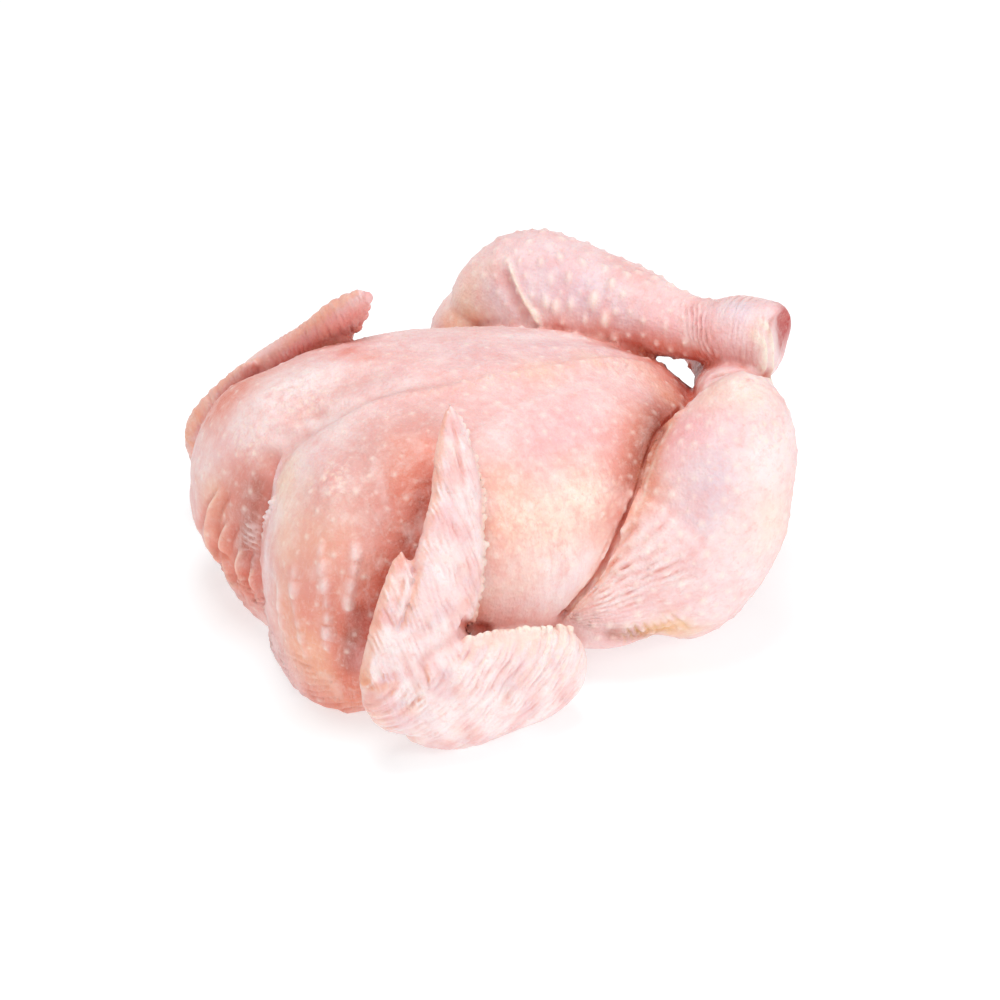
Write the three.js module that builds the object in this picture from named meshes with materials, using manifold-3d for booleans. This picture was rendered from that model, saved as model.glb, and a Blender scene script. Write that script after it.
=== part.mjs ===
// A whole raw chicken, plucked and drawn, on its back with the breast up, the legs crossed over the tail
// and the wing tips standing up. It is one piece of skin, flesh and bone, so the model is one closed solid.
// Millimetres. +X runs from the neck to the tail, +Y to the bird's left, +Z up.
// The origin is on the table, under the middle of the bird.
import * as THREE from 'three';
import { mergeVertices } from 'three/addons/utils/BufferGeometryUtils.js';
import Module from 'manifold-3d';

const wasm = await Module();
wasm.setup();

// Driving dimensions. The tables below give their girths as shares of these.
const SIZE = 0.92; // the bird as built, against the tables
const BREAST_HALF_WIDTH = 75;
const THIGH_HALF_WIDTH = 33;
const DRUMSTICK_HALF_WIDTH = 24;
const WING_HALF_WIDTH = 22;

const RIGHT = -1;
const LEFT = 1;
const vec = (x, y, z) => new THREE.Vector3(x, y, z);
const ACROSS = vec(0, 1, 0);
const ALONG = vec(1, 0, 0);
const UP = vec(0, 0, 1);

// ---------------------------------------------------------------- helpers

// A closed skin over rings of points, with a fan at each end.
function skinOver(rings, firstPole, lastPole) {
  const sides = rings[0].length;
  const points = rings.flat().concat([firstPole, lastPole]);
  const first = points.length - 2;
  const last = points.length - 1;
  const faces = [];
  rings.forEach((ring, i) => {
    for (let j = 0; j < sides; j++) {
      const a = i * sides + j;
      const b = i * sides + ((j + 1) % sides);
      if (i === 0) faces.push(first, b, a);
      if (i === rings.length - 1) faces.push(last, a, b);
      else faces.push(a, b, b + sides, a, b + sides, a + sides);
    }
  });
  const skin = new THREE.BufferGeometry();
  skin.setAttribute('position', new THREE.Float32BufferAttribute(points.flatMap((p) => p.toArray()), 3));
  skin.setIndex(faces);
  return skin;
}

// The solid inside a closed geometry, turned right side out.
function solidOf(geometry) {
  const bare = geometry.clone();
  bare.deleteAttribute('normal');
  bare.deleteAttribute('uv');
  const merged = mergeVertices(bare, 1e-4);
  const triVerts = new Uint32Array(merged.index.array);
  const vertProperties = merged.attributes.position.array;
  const made = new wasm.Manifold(new wasm.Mesh({ numProp: 3, vertProperties, triVerts }));
  if (made.volume() > 0) return made;
  for (let i = 0; i < triVerts.length; i += 3) {
    [triVerts[i + 1], triVerts[i + 2]] = [triVerts[i + 2], triVerts[i + 1]];
  }
  return new wasm.Manifold(new wasm.Mesh({ numProp: 3, vertProperties, triVerts }));
}

// Values given at rising places, as one smooth curve through them.
function between(values) {
  const curve = new THREE.SplineCurve(values.map(([at, value]) => new THREE.Vector2(at, value)));
  const last = values.length - 1;
  return (at) => {
    let k = 0;
    while (k < last - 1 && at > values[k + 1][0]) k++;
    const share = THREE.MathUtils.clamp((at - values[k][0]) / (values[k + 1][0] - values[k][0]), 0, 1);
    return curve.getPoint((k + share) / last).y;
  };
}

// A limb or a flap: oval rings on a spine. Each station is [x, y, z, width, depth], with the last two as
// shares of girth. wide is the way its width runs, and domes give the shares of its length that its two
// round ends take.
function limb({ stations, girth, wide, domes = [0.12, 0.12], rings = 18, sides = 18 }) {
  const spine = new THREE.CatmullRomCurve3(stations.map((s) => vec(s[0], s[1], s[2])));
  const halves = new THREE.CatmullRomCurve3(stations.map((s) => vec(s[3], s[4], 0)));
  const made = [];
  for (let i = 1; i < rings; i++) {
    const t = 0.5 - 0.5 * Math.cos((Math.PI * i) / rings);
    const toStart = Math.min(1, t / domes[0]);
    const toEnd = Math.min(1, (1 - t) / domes[1]);
    const dome = Math.sqrt(1 - (1 - toStart) ** 2) * Math.sqrt(1 - (1 - toEnd) ** 2);
    const centre = spine.getPoint(t);
    const along = spine.getTangent(t);
    const across = wide.clone().projectOnPlane(along).normalize();
    const through = along.clone().cross(across);
    const half = halves.getPoint(t).multiplyScalar(dome * girth);
    const ring = [];
    for (let j = 0; j < sides; j++) {
      const turn = (2 * Math.PI * j) / sides;
      const point = centre.clone().addScaledVector(across, half.x * Math.cos(turn));
      ring.push(point.addScaledVector(through, half.y * Math.sin(turn)));
    }
    made.push(ring);
  }
  return skinOver(made, spine.getPoint(0), spine.getPoint(1));
}

// Moves a skin near a path of [x, y, z, depth]: towards a point inside it, or out where depth is negative.
function press(geometry, path, width, inside) {
  const line = new THREE.CatmullRomCurve3(path.map((p) => vec(p[0], p[1], p[2])));
  const depth = new THREE.CatmullRomCurve3(path.map((p) => vec(p[3], 0, 0)));
  const steps = 40;
  const marks = Array.from({ length: steps + 1 }, (_, i) => [
    line.getPoint(i / steps),
    depth.getPoint(i / steps).x,
  ]);
  const at = geometry.attributes.position;
  for (let i = 0; i < at.count; i++) {
    const p = vec(at.getX(i), at.getY(i), at.getZ(i));
    const [nearest, amount] = marks.reduce((best, mark) =>
      mark[0].distanceToSquared(p) < best[0].distanceToSquared(p) ? mark : best,
    );
    const push = amount * Math.exp(-nearest.distanceToSquared(p) / (width * width));
    p.addScaledVector(inside.clone().sub(p).normalize(), push);
    at.setXYZ(i, p.x, p.y, p.z);
  }
  return geometry;
}

// ---------------------------------------------------------------- trunk and breast

// One half of the trunk. Each station is [x, y of its middle line, half width, top, bottom, waist]: the half
// width is a share of the breast's, and the waist is the height of the widest line.
const TRUNK_HALF = [
  [-112, 34, 0.5, 84, -9, 44],
  [-100, 27, 0.57, 88, -21, 41],
  [-84, 17, 0.72, 94, -28, 38],
  [-60, 9, 0.88, 101, -26, 39],
  [-24, 6, 0.9, 102, -19, 42],
  [16, 5, 0.84, 97, -12, 40],
  [48, 4, 0.72, 89, -8, 36],
  [68, 3, 0.59, 79, -2, 32],
  [83, 2, 0.46, 64, 3, 28],
  [95, 1, 0.34, 47, 7, 25],
  [104, 0, 0.2, 35, 12, 23],
];
const BOXINESS = 0.92; // under 1 the section is fuller than an oval
const NECK_DOME = 26; // the length over which the neck end rounds off
const NECK_TIP = 0.4; // how far in front of its first ring the neck end comes to a point
const SAG = 0.5; // under 1 the neck end is fuller below its widest line than above it
const LIFT_ENDS = -72; // how far towards the tail a lifted neck end reaches

// The two halves run into each other along the keel and part at the neck, where skin hangs over the crop.
// back is how far the neck end of this half sits behind the table's, and lift is how far it hangs clear.
function trunkHalf({ side, back, lift }) {
  const column = (k) => between(TRUNK_HALF.map((station) => [station[0], station[k]]));
  const [middle, share, top, bottom, waist] = [1, 2, 3, 4, 5].map(column);
  const rings = 34;
  const sides = 40;
  const from = TRUNK_HALF[0][0];
  const to = TRUNK_HALF.at(-1)[0];
  const bend = (value) => Math.sign(value) * Math.abs(value) ** BOXINESS;
  const made = [];
  for (let i = 0; i <= rings; i++) {
    const t = 0.5 - 0.5 * Math.cos((Math.PI * i) / rings);
    const x = from + (to - from) * t;
    const dome = Math.sqrt(1 - Math.max(0, 1 - (x - from + NECK_TIP) / NECK_DOME) ** 2);
    const low = bottom(x) + lift * (1 - THREE.MathUtils.smoothstep(x, from, LIFT_ENDS));
    const ring = [];
    for (let j = 0; j < sides; j++) {
      const turn = (2 * Math.PI * j) / sides;
      const rise = turn < Math.PI ? top(x) - waist(x) : waist(x) - low;
      const full = dome ** (1 - (1 - SAG) * Math.max(0, -Math.sin(turn)));
      const y = side * middle(x) + full * share(x) * BREAST_HALF_WIDTH * bend(Math.cos(turn));
      ring.push(vec(x + back * (1 - t) ** 2, y, waist(x) + full * rise * bend(Math.sin(turn))));
    }
    made.push(ring);
  }
  const neckPole = vec(from + back - NECK_TIP, side * middle(from), waist(from));
  const skin = skinOver(made, neckPole, vec(to + 3, 0, waist(to)));
  const heart = vec(-30, 0, 40);
  const valley = [[-104, 2, 66, 0], [-95, 3, 84, 4], [-82, 4, 94, 6], [-62, 6, 101, 4], [-38, 7, 102, 0]];
  const keel = [[-50, 0, 101, 0], [-14, -2, 102, -2], [30, 0, 95, -3], [64, 0, 82, -2], [78, 0, 68, 0]];
  const vent = [[96, -12, 40, 2], [99, 0, 42, 6], [96, 12, 40, 2]];
  press(skin, valley, 9, heart);
  press(skin, keel, 8, heart);
  return press(skin, vent, 8, heart);
}

const tail = limb({
  stations: [[88, 0, 20, 1, 0.6], [106, 0, 23, 0.78, 0.4], [119, 0, 28, 0.4, 0.24]],
  girth: 23,
  wide: ACROSS,
  domes: [0.2, 0.3],
  rings: 12,
});

// ---------------------------------------------------------------- legs

// The right leg is folded: thigh, the web of skin in front of it, and a drumstick that goes under the other.
const rightLeg = [
  limb({
    stations: [
      [34, -38, 24, 0.66, 0.72],
      [47, -58, 30, 0.98, 0.93],
      [63, -59, 56, 0.93, 0.87],
      [75, -52, 80, 0.76, 0.72],
      [79, -47, 102, 0.6, 0.6],
    ],
    girth: THIGH_HALF_WIDTH,
    wide: vec(1, 0, -0.4),
    domes: [0.3, 0.36],
    rings: 22,
    sides: 26,
  }),
  limb({
    stations: [
      [-14, -67, 17, 0.09, 0.09],
      [18, -68, 25, 0.54, 0.44],
      [49, -62, 41, 0.94, 0.86],
      [62, -60, 50, 0.9, 0.86],
    ],
    girth: THIGH_HALF_WIDTH,
    wide: UP,
    domes: [0.1, 0.36],
    rings: 22,
    sides: 20,
  }),
  limb({
    stations: [
      [75, -46, 77, 0.62, 0.62],
      [88, -24, 72, 0.72, 0.68],
      [99, 4, 66, 0.56, 0.54],
      [107, 30, 59, 0.5, 0.5],
      [112, 46, 55, 0.6, 0.58],
    ],
    girth: DRUMSTICK_HALF_WIDTH,
    wide: UP,
    domes: [0.2, 0.05],
    sides: 16,
  }),
];

// The left leg lies over it: thigh, web, and a drumstick with its cut hock out past the tail.
const leftLeg = [
  limb({
    stations: [
      [49, 34, 24, 0.73, 0.73],
      [45, 54, 44, 0.94, 0.85],
      [27, 66, 66, 0.88, 0.8],
      [16, 68, 88, 0.7, 0.66],
    ],
    girth: THIGH_HALF_WIDTH,
    wide: ALONG,
    domes: [0.3, 0.3],
    sides: 24,
  }),
  limb({
    stations: [
      [-10, 63, 17, 0.09, 0.09],
      [14, 62, 26, 0.5, 0.44],
      [40, 58, 42, 0.9, 0.82],
      [52, 54, 48, 0.84, 0.8],
    ],
    girth: THIGH_HALF_WIDTH,
    wide: UP,
    domes: [0.1, 0.36],
  }),
  limb({
    stations: [
      [10, 71, 83, 0.71, 0.71],
      [34, 58, 90, 1, 1],
      [62, 34, 90, 0.83, 0.83],
      [84, 8, 89, 0.52, 0.5],
      [98, -8, 92, 0.63, 0.64],
      [109, -21, 93, 0.58, 0.58],
    ],
    girth: DRUMSTICK_HALF_WIDTH,
    wide: UP,
    domes: [0.25, 0.04],
    rings: 26,
    sides: 22,
  }),
];

// ---------------------------------------------------------------- wings

const BLADE = vec(1, 0, -0.5); // the way a raised hand or thumb is wide

// lean, tuck and drop move what stands 100 above the forearm towards the tail, towards the breast and down,
// and bow bends the hand towards the tail half way up.
function wing({ side, lean, bow = 0, tuck = 0, drop = 0 }) {
  const on = (stations) =>
    stations.map(([x, y, z, width, depth]) => {
      const raised = Math.max(0, z - WING_HALF_WIDTH) / 100;
      const shift = lean * raised + bow * Math.sin(Math.PI * Math.min(1, raised));
      return [x + shift, (y - tuck * raised) * side, z - drop * raised, width, depth];
    });
  const upperArm = limb({
    stations: on([[-50, 56, 30, 0.68, 0.73], [-32, 68, 20, 0.64, 0.68], [-16, 80, 15, 0.55, 0.55]]),
    girth: WING_HALF_WIDTH,
    wide: UP,
    rings: 12,
    sides: 14,
  });
  const forearm = limb({
    stations: on([
      [-6, 89, 26, 0.6, 0.4],
      [-24, 94, 23, 0.92, 0.5],
      [-54, 95, 24, 1.1, 0.54],
      [-85, 91, 26, 0.9, 0.5],
    ]),
    girth: WING_HALF_WIDTH,
    wide: UP,
    domes: [0.14, 0.17],
    rings: 20,
  });
  const hand = limb({
    stations: on([
      [-70, 91, 12, 0.5, 0.4],
      [-79, 91, 28, 0.76, 0.5],
      [-72, 88, 47, 0.83, 0.36],
      [-61, 80, 68, 0.72, 0.3],
      [-51, 67, 90, 0.53, 0.26],
      [-43, 49, 121, 0.24, 0.16],
    ]),
    girth: WING_HALF_WIDTH,
    wide: BLADE,
    rings: 24,
  });
  const thumb = limb({
    stations: on([
      [-79, 91, 20, 0.62, 0.42],
      [-87, 90, 38, 0.44, 0.34],
      [-83, 84, 60, 0.34, 0.22],
      [-76, 75, 80, 0.14, 0.1],
    ]),
    girth: WING_HALF_WIDTH,
    wide: BLADE,
    rings: 14,
    sides: 12,
  });
  return [upperArm, forearm, hand, thumb];
}

// ---------------------------------------------------------------- the bird

const pieces = [
  trunkHalf({ side: RIGHT, back: 6, lift: 0 }),
  trunkHalf({ side: LEFT, back: 1, lift: 22 }),
  tail,
  ...rightLeg,
  ...leftLeg,
  ...wing({ side: RIGHT, lean: 2, bow: 4 }),
  ...wing({ side: LEFT, lean: 4, tuck: 8, drop: 4 }),
];
const aboveTable = solidOf(new THREE.BoxGeometry(600, 600, 400).translate(0, 0, 200));
const bird = pieces.map(solidOf).reduce((whole, piece) => whole.add(piece)).intersect(aboveTable);

function geometryOf(solid) {
  const { vertProperties, triVerts } = solid.getMesh();
  const geometry = new THREE.BufferGeometry();
  geometry.setAttribute('position', new THREE.BufferAttribute(vertProperties, 3));
  geometry.setIndex(new THREE.BufferAttribute(triVerts, 1));
  geometry.computeVertexNormals();
  return geometry;
}

const skinFinish = new THREE.MeshStandardMaterial({ color: 0xeec6bd, roughness: 0.42, metalness: 0 });
const body = geometryOf(bird).scale(SIZE, SIZE, SIZE);
body.computeBoundingBox();
const middle = body.boundingBox.getCenter(vec(0, 0, 0));
const chicken = new THREE.Mesh(body.translate(-middle.x, -middle.y, 0), skinFinish);
chicken.name = 'whole_raw_chicken';

const part = new THREE.Group();
part.add(chicken);
export default part;
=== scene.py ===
# %% [markdown]
# # A whole raw chicken on its back
#
# The bird lies on a table with its breast up, its legs crossed over the tail and the tips of its wings
# standing up. It is one piece: skin over flesh and bone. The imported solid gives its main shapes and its
# size, so this script takes that shape, makes a finer skin of it, sculpts what skin does on the real bird
# (folds, ribs, creases, goose bumps) and then paints it with a procedural material.
#
# Everything is in metres, with +X from the neck to the tail, +Y to the bird's left and +Z up. Sculpting is
# easier to read in millimetres, so the skin's points are kept in millimetres until they go back.

# %% The frame
import math
import bmesh
import bpy
import numpy as np
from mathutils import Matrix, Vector, kdtree
from mathutils.bvhtree import BVHTree


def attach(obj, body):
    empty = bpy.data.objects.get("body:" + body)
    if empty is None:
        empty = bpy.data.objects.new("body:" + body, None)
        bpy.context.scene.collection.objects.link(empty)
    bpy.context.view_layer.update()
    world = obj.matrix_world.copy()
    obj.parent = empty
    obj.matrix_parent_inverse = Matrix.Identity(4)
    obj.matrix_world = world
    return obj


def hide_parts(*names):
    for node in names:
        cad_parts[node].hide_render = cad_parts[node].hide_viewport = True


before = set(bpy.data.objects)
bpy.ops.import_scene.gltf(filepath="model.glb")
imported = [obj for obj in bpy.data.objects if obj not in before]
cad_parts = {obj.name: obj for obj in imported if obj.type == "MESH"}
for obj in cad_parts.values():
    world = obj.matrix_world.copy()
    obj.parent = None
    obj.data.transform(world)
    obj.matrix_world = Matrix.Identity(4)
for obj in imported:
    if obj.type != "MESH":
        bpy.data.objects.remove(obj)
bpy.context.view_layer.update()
cad_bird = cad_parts["whole_raw_chicken"]
MM = 0.001

# %% [markdown]
# ## The camera
#
# A camera could be dragged into place by hand, but one that is computed can be checked. This one stands off
# at an azimuth and an elevation, far enough away that a long lens sees the bird almost without perspective,
# and looks at a point inside the bird.

# %% The camera
AZIMUTH, ELEVATION = math.radians(-23.4), math.radians(35.0)
DISTANCE = 1.656
STANDS_BEFORE = Vector((-0.0054, 0.0, 0.0))
LOOKS_AT = Vector((-0.0054, 0.0, 0.033))
PICTURE = 1000  # pixels a side
SENSOR = 36.0
LENS = 165.24

towards_camera = Vector((
    math.sin(AZIMUTH) * math.cos(ELEVATION),
    -math.cos(AZIMUTH) * math.cos(ELEVATION),
    math.sin(ELEVATION),
))
camera = bpy.data.objects.new("camera", bpy.data.cameras.new("camera"))
bpy.context.scene.collection.objects.link(camera)
bpy.context.scene.camera = camera
camera.data.lens, camera.data.sensor_width = LENS, SENSOR
camera.location = STANDS_BEFORE + towards_camera * DISTANCE
camera.rotation_euler = (camera.location - LOOKS_AT).to_track_quat("Z", "Y").to_euler()
print("camera at", [round(v, 3) for v in camera.location])

# %% [markdown]
# ## A finer skin
#
# The solid has large flat faces, and its limbs meet in sharp lines. Subdividing it would round each face but
# keep its uneven pattern. A voxel remesh instead wraps the whole form in even little squares, joins the limbs
# into one sheet and leaves no face inside. A few rounds of smoothing then turn the sharp meetings into the
# soft ones of flesh.

# %% The skin's mesh
SKIN_GRAIN = 0.95 * MM  # the side of one square

bird = bpy.data.objects.new("chicken_skin", cad_bird.data.copy())
bpy.context.scene.collection.objects.link(bird)
wrap = bird.modifiers.new("wrap", "REMESH")
wrap.mode, wrap.voxel_size, wrap.use_smooth_shade = "VOXEL", SKIN_GRAIN, True
bpy.context.view_layer.update()
wrapped = bpy.data.meshes.new_from_object(bird.evaluated_get(bpy.context.evaluated_depsgraph_get()))
bird.modifiers.clear()
print("skin squares", len(wrapped.polygons))


# %% Points and neighbours as arrays
def adopt(mesh):
    """Makes a mesh the bird's skin, and reads its points in millimetres and the two ends of its edges."""
    global skin_mesh, skin_at, one_end, other_end, neighbours
    skin_mesh = bird.data = mesh
    skin_at = np.zeros(len(mesh.vertices) * 3)
    mesh.vertices.foreach_get("co", skin_at)
    skin_at = skin_at.reshape(-1, 3) / MM
    edges = np.zeros(len(mesh.edges) * 2, np.int64)
    mesh.edges.foreach_get("vertices", edges)
    edges = edges.reshape(-1, 2)
    one_end = np.r_[edges[:, 0], edges[:, 1]]
    other_end = np.r_[edges[:, 1], edges[:, 0]]
    neighbours = np.bincount(one_end, minlength=len(skin_at))


def average_of_neighbours(values):
    """For each point of the skin, the mean of a value over the points next to it."""
    columns = values.reshape(len(skin_at), -1).T
    sums = [np.bincount(one_end, column[other_end], len(skin_at)) for column in columns]
    return (np.array(sums) / neighbours).T.reshape(values.shape)


def smoothed(values, rounds):
    """Values at the skin's points, evened out with their neighbours a number of times."""
    for _ in range(rounds):
        values = values + 0.6 * (average_of_neighbours(values) - values)
    return values


def settle():
    """Puts the moved points into the mesh, on or above the table, and reads the normals again."""
    global outward
    before = np.zeros(skin_at.size)
    skin_mesh.vertices.foreach_get("co", before)
    skin_at[:, 2] = np.maximum(skin_at[:, 2], 0.0)
    skin_mesh.vertices.foreach_set("co", (skin_at * MM).ravel())
    skin_mesh.update()
    flat = np.zeros(len(skin_at) * 3, np.float32)
    skin_mesh.vertex_normals.foreach_get("vector", flat)
    outward = flat.reshape(-1, 3).astype(float)
    moves = np.linalg.norm(skin_at - before.reshape(-1, 3) / MM, axis=1)
    print("the skin moved by up to", moves.max().round(2), "mm")


def attribute(name, kind, values):
    """Stores values at the skin's points under a name that a material can read."""
    layer = skin_mesh.attributes.new(name, kind, "POINT")
    field = {"FLOAT_COLOR": "color", "FLOAT_VECTOR": "vector", "FLOAT": "value"}[kind]
    layer.data.foreach_set(field, values.astype(np.float32).ravel())


adopt(wrapped)
skin_at = smoothed(skin_at, 4)
settle()
print("points", len(skin_at))

# %% [markdown]
# ## Creases where limbs meet
#
# Where two limbs of flesh press together the skin goes in deep and dark, while the remesh left a shallow
# gutter. Points that lie well under the average of the skin around them are in such a gutter, so they go in
# further, and the same measure is kept to paint shade there. A finer remesh would keep them sharper, but
# it would make the whole skin heavy for a few lines.

# %% Deeper creases
under = np.maximum(0, ((smoothed(skin_at, 14) - skin_at) * outward).sum(1))
under_more = np.maximum(0, ((smoothed(skin_at, 60) - skin_at) * outward).sum(1))
push = smoothed(np.minimum(1.2, 2.0 * np.maximum(0, under - 0.12)), 2)
skin_at -= outward * push[:, None]
settle()
narrow, broad = np.clip(under / 0.9, 0, 1), np.clip((under_more - 0.4) / 2.5, 0, 1)
attribute("gutter", "FLOAT", narrow * 0.8 + broad * 0.35)
print("deepest gutter", under.max().round(2), "mm")

# %% [markdown]
# ## Finding a place on the bird
#
# A fold or a blush is easiest to place where the eye sees it. A ray from the camera through a spot in the
# picture meets the skin in one point, and everything after that works with that point in space, so a fold
# lies on the skin from every side. Places that the camera can't see are given in space directly.

# %% From a spot in the picture to a point on the skin
bpy.context.view_layer.update()
skin_tree = BVHTree.FromObject(bird, bpy.context.evaluated_depsgraph_get())
PIXELS_PER_TANGENT = LENS / SENSOR * PICTURE


def seen(column, row):
    """The point of the skin, in millimetres, at a column and row of the picture."""
    ray = Vector(((column - PICTURE / 2) / PIXELS_PER_TANGENT,
                  (PICTURE / 2 - row) / PIXELS_PER_TANGENT, -1.0))
    ray = (camera.matrix_world.to_quaternion() @ ray).normalized()
    hit = skin_tree.ray_cast(camera.location, ray)[0]
    if hit is None:
        hit = skin_tree.find_nearest(camera.location + ray * DISTANCE)[0]
        print("no skin at", column, row)
    return np.array(hit) / MM


def through(marks, steps=6):
    """A smooth line through marks in space, as many short steps."""
    marks = np.array(marks, float)
    ends = np.vstack([2 * marks[0] - marks[1], marks, 2 * marks[-1] - marks[-2]])
    line = []
    for a, b, c, d in zip(ends, ends[1:], ends[2:], ends[3:]):
        for t in np.arange(steps) / steps:
            line.append(0.5 * (2 * b + (c - a) * t + (2 * a - 5 * b + 4 * c - d) * t**2
                               + (3 * b - a - 3 * c + d) * t**3))
    return np.array(line + [marks[-1]])


def seen_line(*spots):
    """A smooth line on the skin through spots of the picture."""
    return through([seen(*spot) for spot in spots])


def reach(line, points):
    """How far points are from a line, and how far along it each lies, from 0 to 1."""
    gap, share = np.full(len(points), np.inf), np.zeros(len(points))
    for k, (a, b) in enumerate(zip(line, line[1:])):
        along = np.clip((points - a) @ (b - a) / max((b - a) @ (b - a), 1e-9), 0, 1)
        distance = np.linalg.norm(points - a - along[:, None] * (b - a), axis=1)
        closer = distance < gap
        gap[closer], share[closer] = distance[closer], (k + along[closer]) / (len(line) - 1)
    return gap, share


CREST_OF_BREAST = (560, 372)
print("crest of the breast", seen(*CREST_OF_BREAST).round(1))

# %% [markdown]
# ## Where the bird shelters itself
#
# Under the legs and between the lobes the skin sees more skin than sky, and light that has bounced there
# turns it salmon. Ray tracing shows some of that by itself, but the depth of the colour has to be painted.
# Rays that start from a share of the points tell how much of the sky each one can't see.

# %% Sheltered skin
SHELTER_REACH = 45.0  # skin further away than this, in millimetres, doesn't count
EVERY = 7  # one point in so many sends out rays
RAYS = 13
GOLDEN_ANGLE = 2.399963  # turns each ray away from the one before, so that they spread evenly
WIDEST = 0.95  # the sine of the widest ray's angle to the skin's normal
sheltered = np.zeros(len(skin_at))
turns = np.arange(RAYS) * GOLDEN_ANGLE
tilts = np.sqrt((np.arange(RAYS) + 0.5) / RAYS) * WIDEST
around = np.c_[np.cos(turns) * tilts, np.sin(turns) * tilts, np.sqrt(1 - tilts**2)]
asked = np.arange(0, len(skin_at), EVERY)
for i in asked:
    normal = outward[i]
    sideways = np.cross(normal, (0.3, 0.8, 0.5) if abs(normal[0]) > 0.6 else (1, 0.1, 0))
    sideways /= np.linalg.norm(sideways)
    rays = around @ np.array([sideways, np.cross(normal, sideways), normal])
    start = Vector((skin_at[i] + 0.8 * normal) * MM)
    blocked = [skin_tree.ray_cast(start, Vector(ray), SHELTER_REACH * MM)[0] is not None for ray in rays]
    sheltered[i] = sum(blocked) / len(blocked)
told = kdtree.KDTree(len(asked))
for k, i in enumerate(asked):
    told.insert(skin_at[i], k)
told.balance()
sheltered = sheltered[asked[[told.find(p)[1] for p in skin_at]]]
attribute("sheltered", "FLOAT", smoothed(sheltered, 8))
print("mean shelter", sheltered.mean().round(3))

# %% [markdown]
# ## Smaller squares for small things
#
# Ribs, frills and the cut ends of the legs need smaller squares than the breast does. Faces near the lines
# where such things go are split in four. The others stay as they are, so the skin doesn't grow heavy.

# %% Smaller squares along some lines
FINE = [  # spots of the picture, and how far around their line the squares are split, in millimetres
    (((215, 480), (215, 540), (238, 590)), 19), (((275, 470), (285, 560), (320, 650)), 20),
    (((340, 500), (345, 640)), 14), (((335, 680), (350, 700)), 14),
    (((450, 410), (450, 500), (430, 620)), 17),
    (((395, 560), (375, 640), (385, 690)), 15), (((390, 700), (480, 680), (570, 665)), 19),
    (((745, 310), (770, 340), (745, 365)), 15), (((705, 320), (720, 350)), 14), (((512, 270), (538, 318)), 7),
    (((680, 400), (625, 505), (560, 606)), 6), (((480, 385), (560, 372), (640, 366)), 6),
    (((640, 345), (690, 360)), 8), (((350, 300), (300, 345), (250, 385), (205, 420)), 13),
    (((575, 612), (605, 580), (640, 545)), 15), (((630, 622), (700, 618)), 7),
]
HIDDEN_HOCK = (97.7, 42.3, 50.6)  # the cut end that the camera hardly sees, in millimetres

centres = np.zeros(len(skin_mesh.polygons) * 3)
skin_mesh.polygons.foreach_get("center", centres)
centres = centres.reshape(-1, 3) / MM
split = np.linalg.norm(centres - HIDDEN_HOCK, axis=1) < 16
for spots, radius in FINE:
    split |= reach(seen_line(*spots), centres)[0] < radius
grid = bmesh.new()
grid.from_mesh(skin_mesh)
grid.faces.ensure_lookup_table()
sides = {edge for i in np.flatnonzero(split) for edge in grid.faces[i].edges}
bmesh.ops.subdivide_edges(grid, edges=list(sides), cuts=1, use_grid_fill=True)
finer = bpy.data.meshes.new("chicken_skin")
grid.to_mesh(finer)
grid.free()
adopt(finer)
skin_at = smoothed(skin_at, 2)
settle()
gutter, sheltered = np.zeros(len(skin_at), np.float32), np.zeros(len(skin_at), np.float32)
skin_mesh.attributes["gutter"].data.foreach_get("value", gutter)
skin_mesh.attributes["sheltered"].data.foreach_get("value", sheltered)
print("squares split", split.sum(), "points now", len(skin_at))

# %% [markdown]
# ## Which part of the bird is which
#
# Skin behaves differently on a leg, a wing and the breast, so each point of the skin needs to know where it
# belongs. Each limb is a line with a thickness, the same as in the solid, and a point belongs to the limb
# whose surface it is on. The line also tells how far along the limb a point lies.

# %% The limbs' lines
SIZE, MIDDLE = 0.92, 5.85  # the solid's scale and the shift that centres it
ARM = [(-6, 89, 26, 11), (-24, 94, 23, 16), (-54, 95, 24, 18), (-85, 91, 26, 15)]
HAND = [(-79, 91, 28, 14), (-72, 88, 47, 13), (-61, 80, 68, 11), (-51, 67, 90, 9), (-43, 49, 121, 5)]
THUMB = [(-87, 90, 38, 9), (-83, 84, 60, 6), (-76, 75, 80, 3)]


def raised(stations, side, lean, bow=0, tuck=0, drop=0):
    """Stations of a wing, bent and leaning as the solid's wing is."""
    moved = []
    for x, y, z, radius in stations:
        up = max(0, z - 22) / 100
        x += lean * up + bow * math.sin(math.pi * min(1, up))
        moved.append((x, (y - tuck * up) * side, z - drop * up, radius))
    return moved


LIMBS = {
    "left_drumstick": [(10, 71, 83, 17), (34, 58, 90, 24), (62, 34, 90, 20), (84, 8, 89, 12),
                       (98, -8, 92, 15), (109, -21, 93, 14)],
    "left_thigh": [(49, 34, 24, 24), (45, 54, 44, 30), (27, 66, 66, 28), (16, 68, 88, 22)],
    "left_web": [(-10, 63, 17, 4), (14, 62, 26, 16), (40, 58, 42, 29)],
    "right_drumstick": [(75, -46, 77, 15), (88, -24, 72, 17), (99, 4, 66, 13), (107, 30, 59, 12),
                        (112, 46, 55, 14)],
    "right_thigh": [(34, -38, 24, 23), (47, -58, 30, 31), (63, -59, 56, 30), (75, -52, 80, 25),
                    (79, -47, 102, 20)],
    "right_web": [(-14, -67, 17, 4), (18, -68, 25, 17), (49, -62, 41, 30)],
    "right_arm": raised(ARM, -1, 2, 4), "right_hand": raised(HAND, -1, 2, 4),
    "right_thumb": raised(THUMB, -1, 2, 4), "left_arm": raised(ARM, 1, 4, 0, 8, 4),
    "left_hand": raised(HAND, 1, 4, 0, 8, 4), "left_thumb": raised(THUMB, 1, 4, 0, 8, 4),
}


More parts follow.
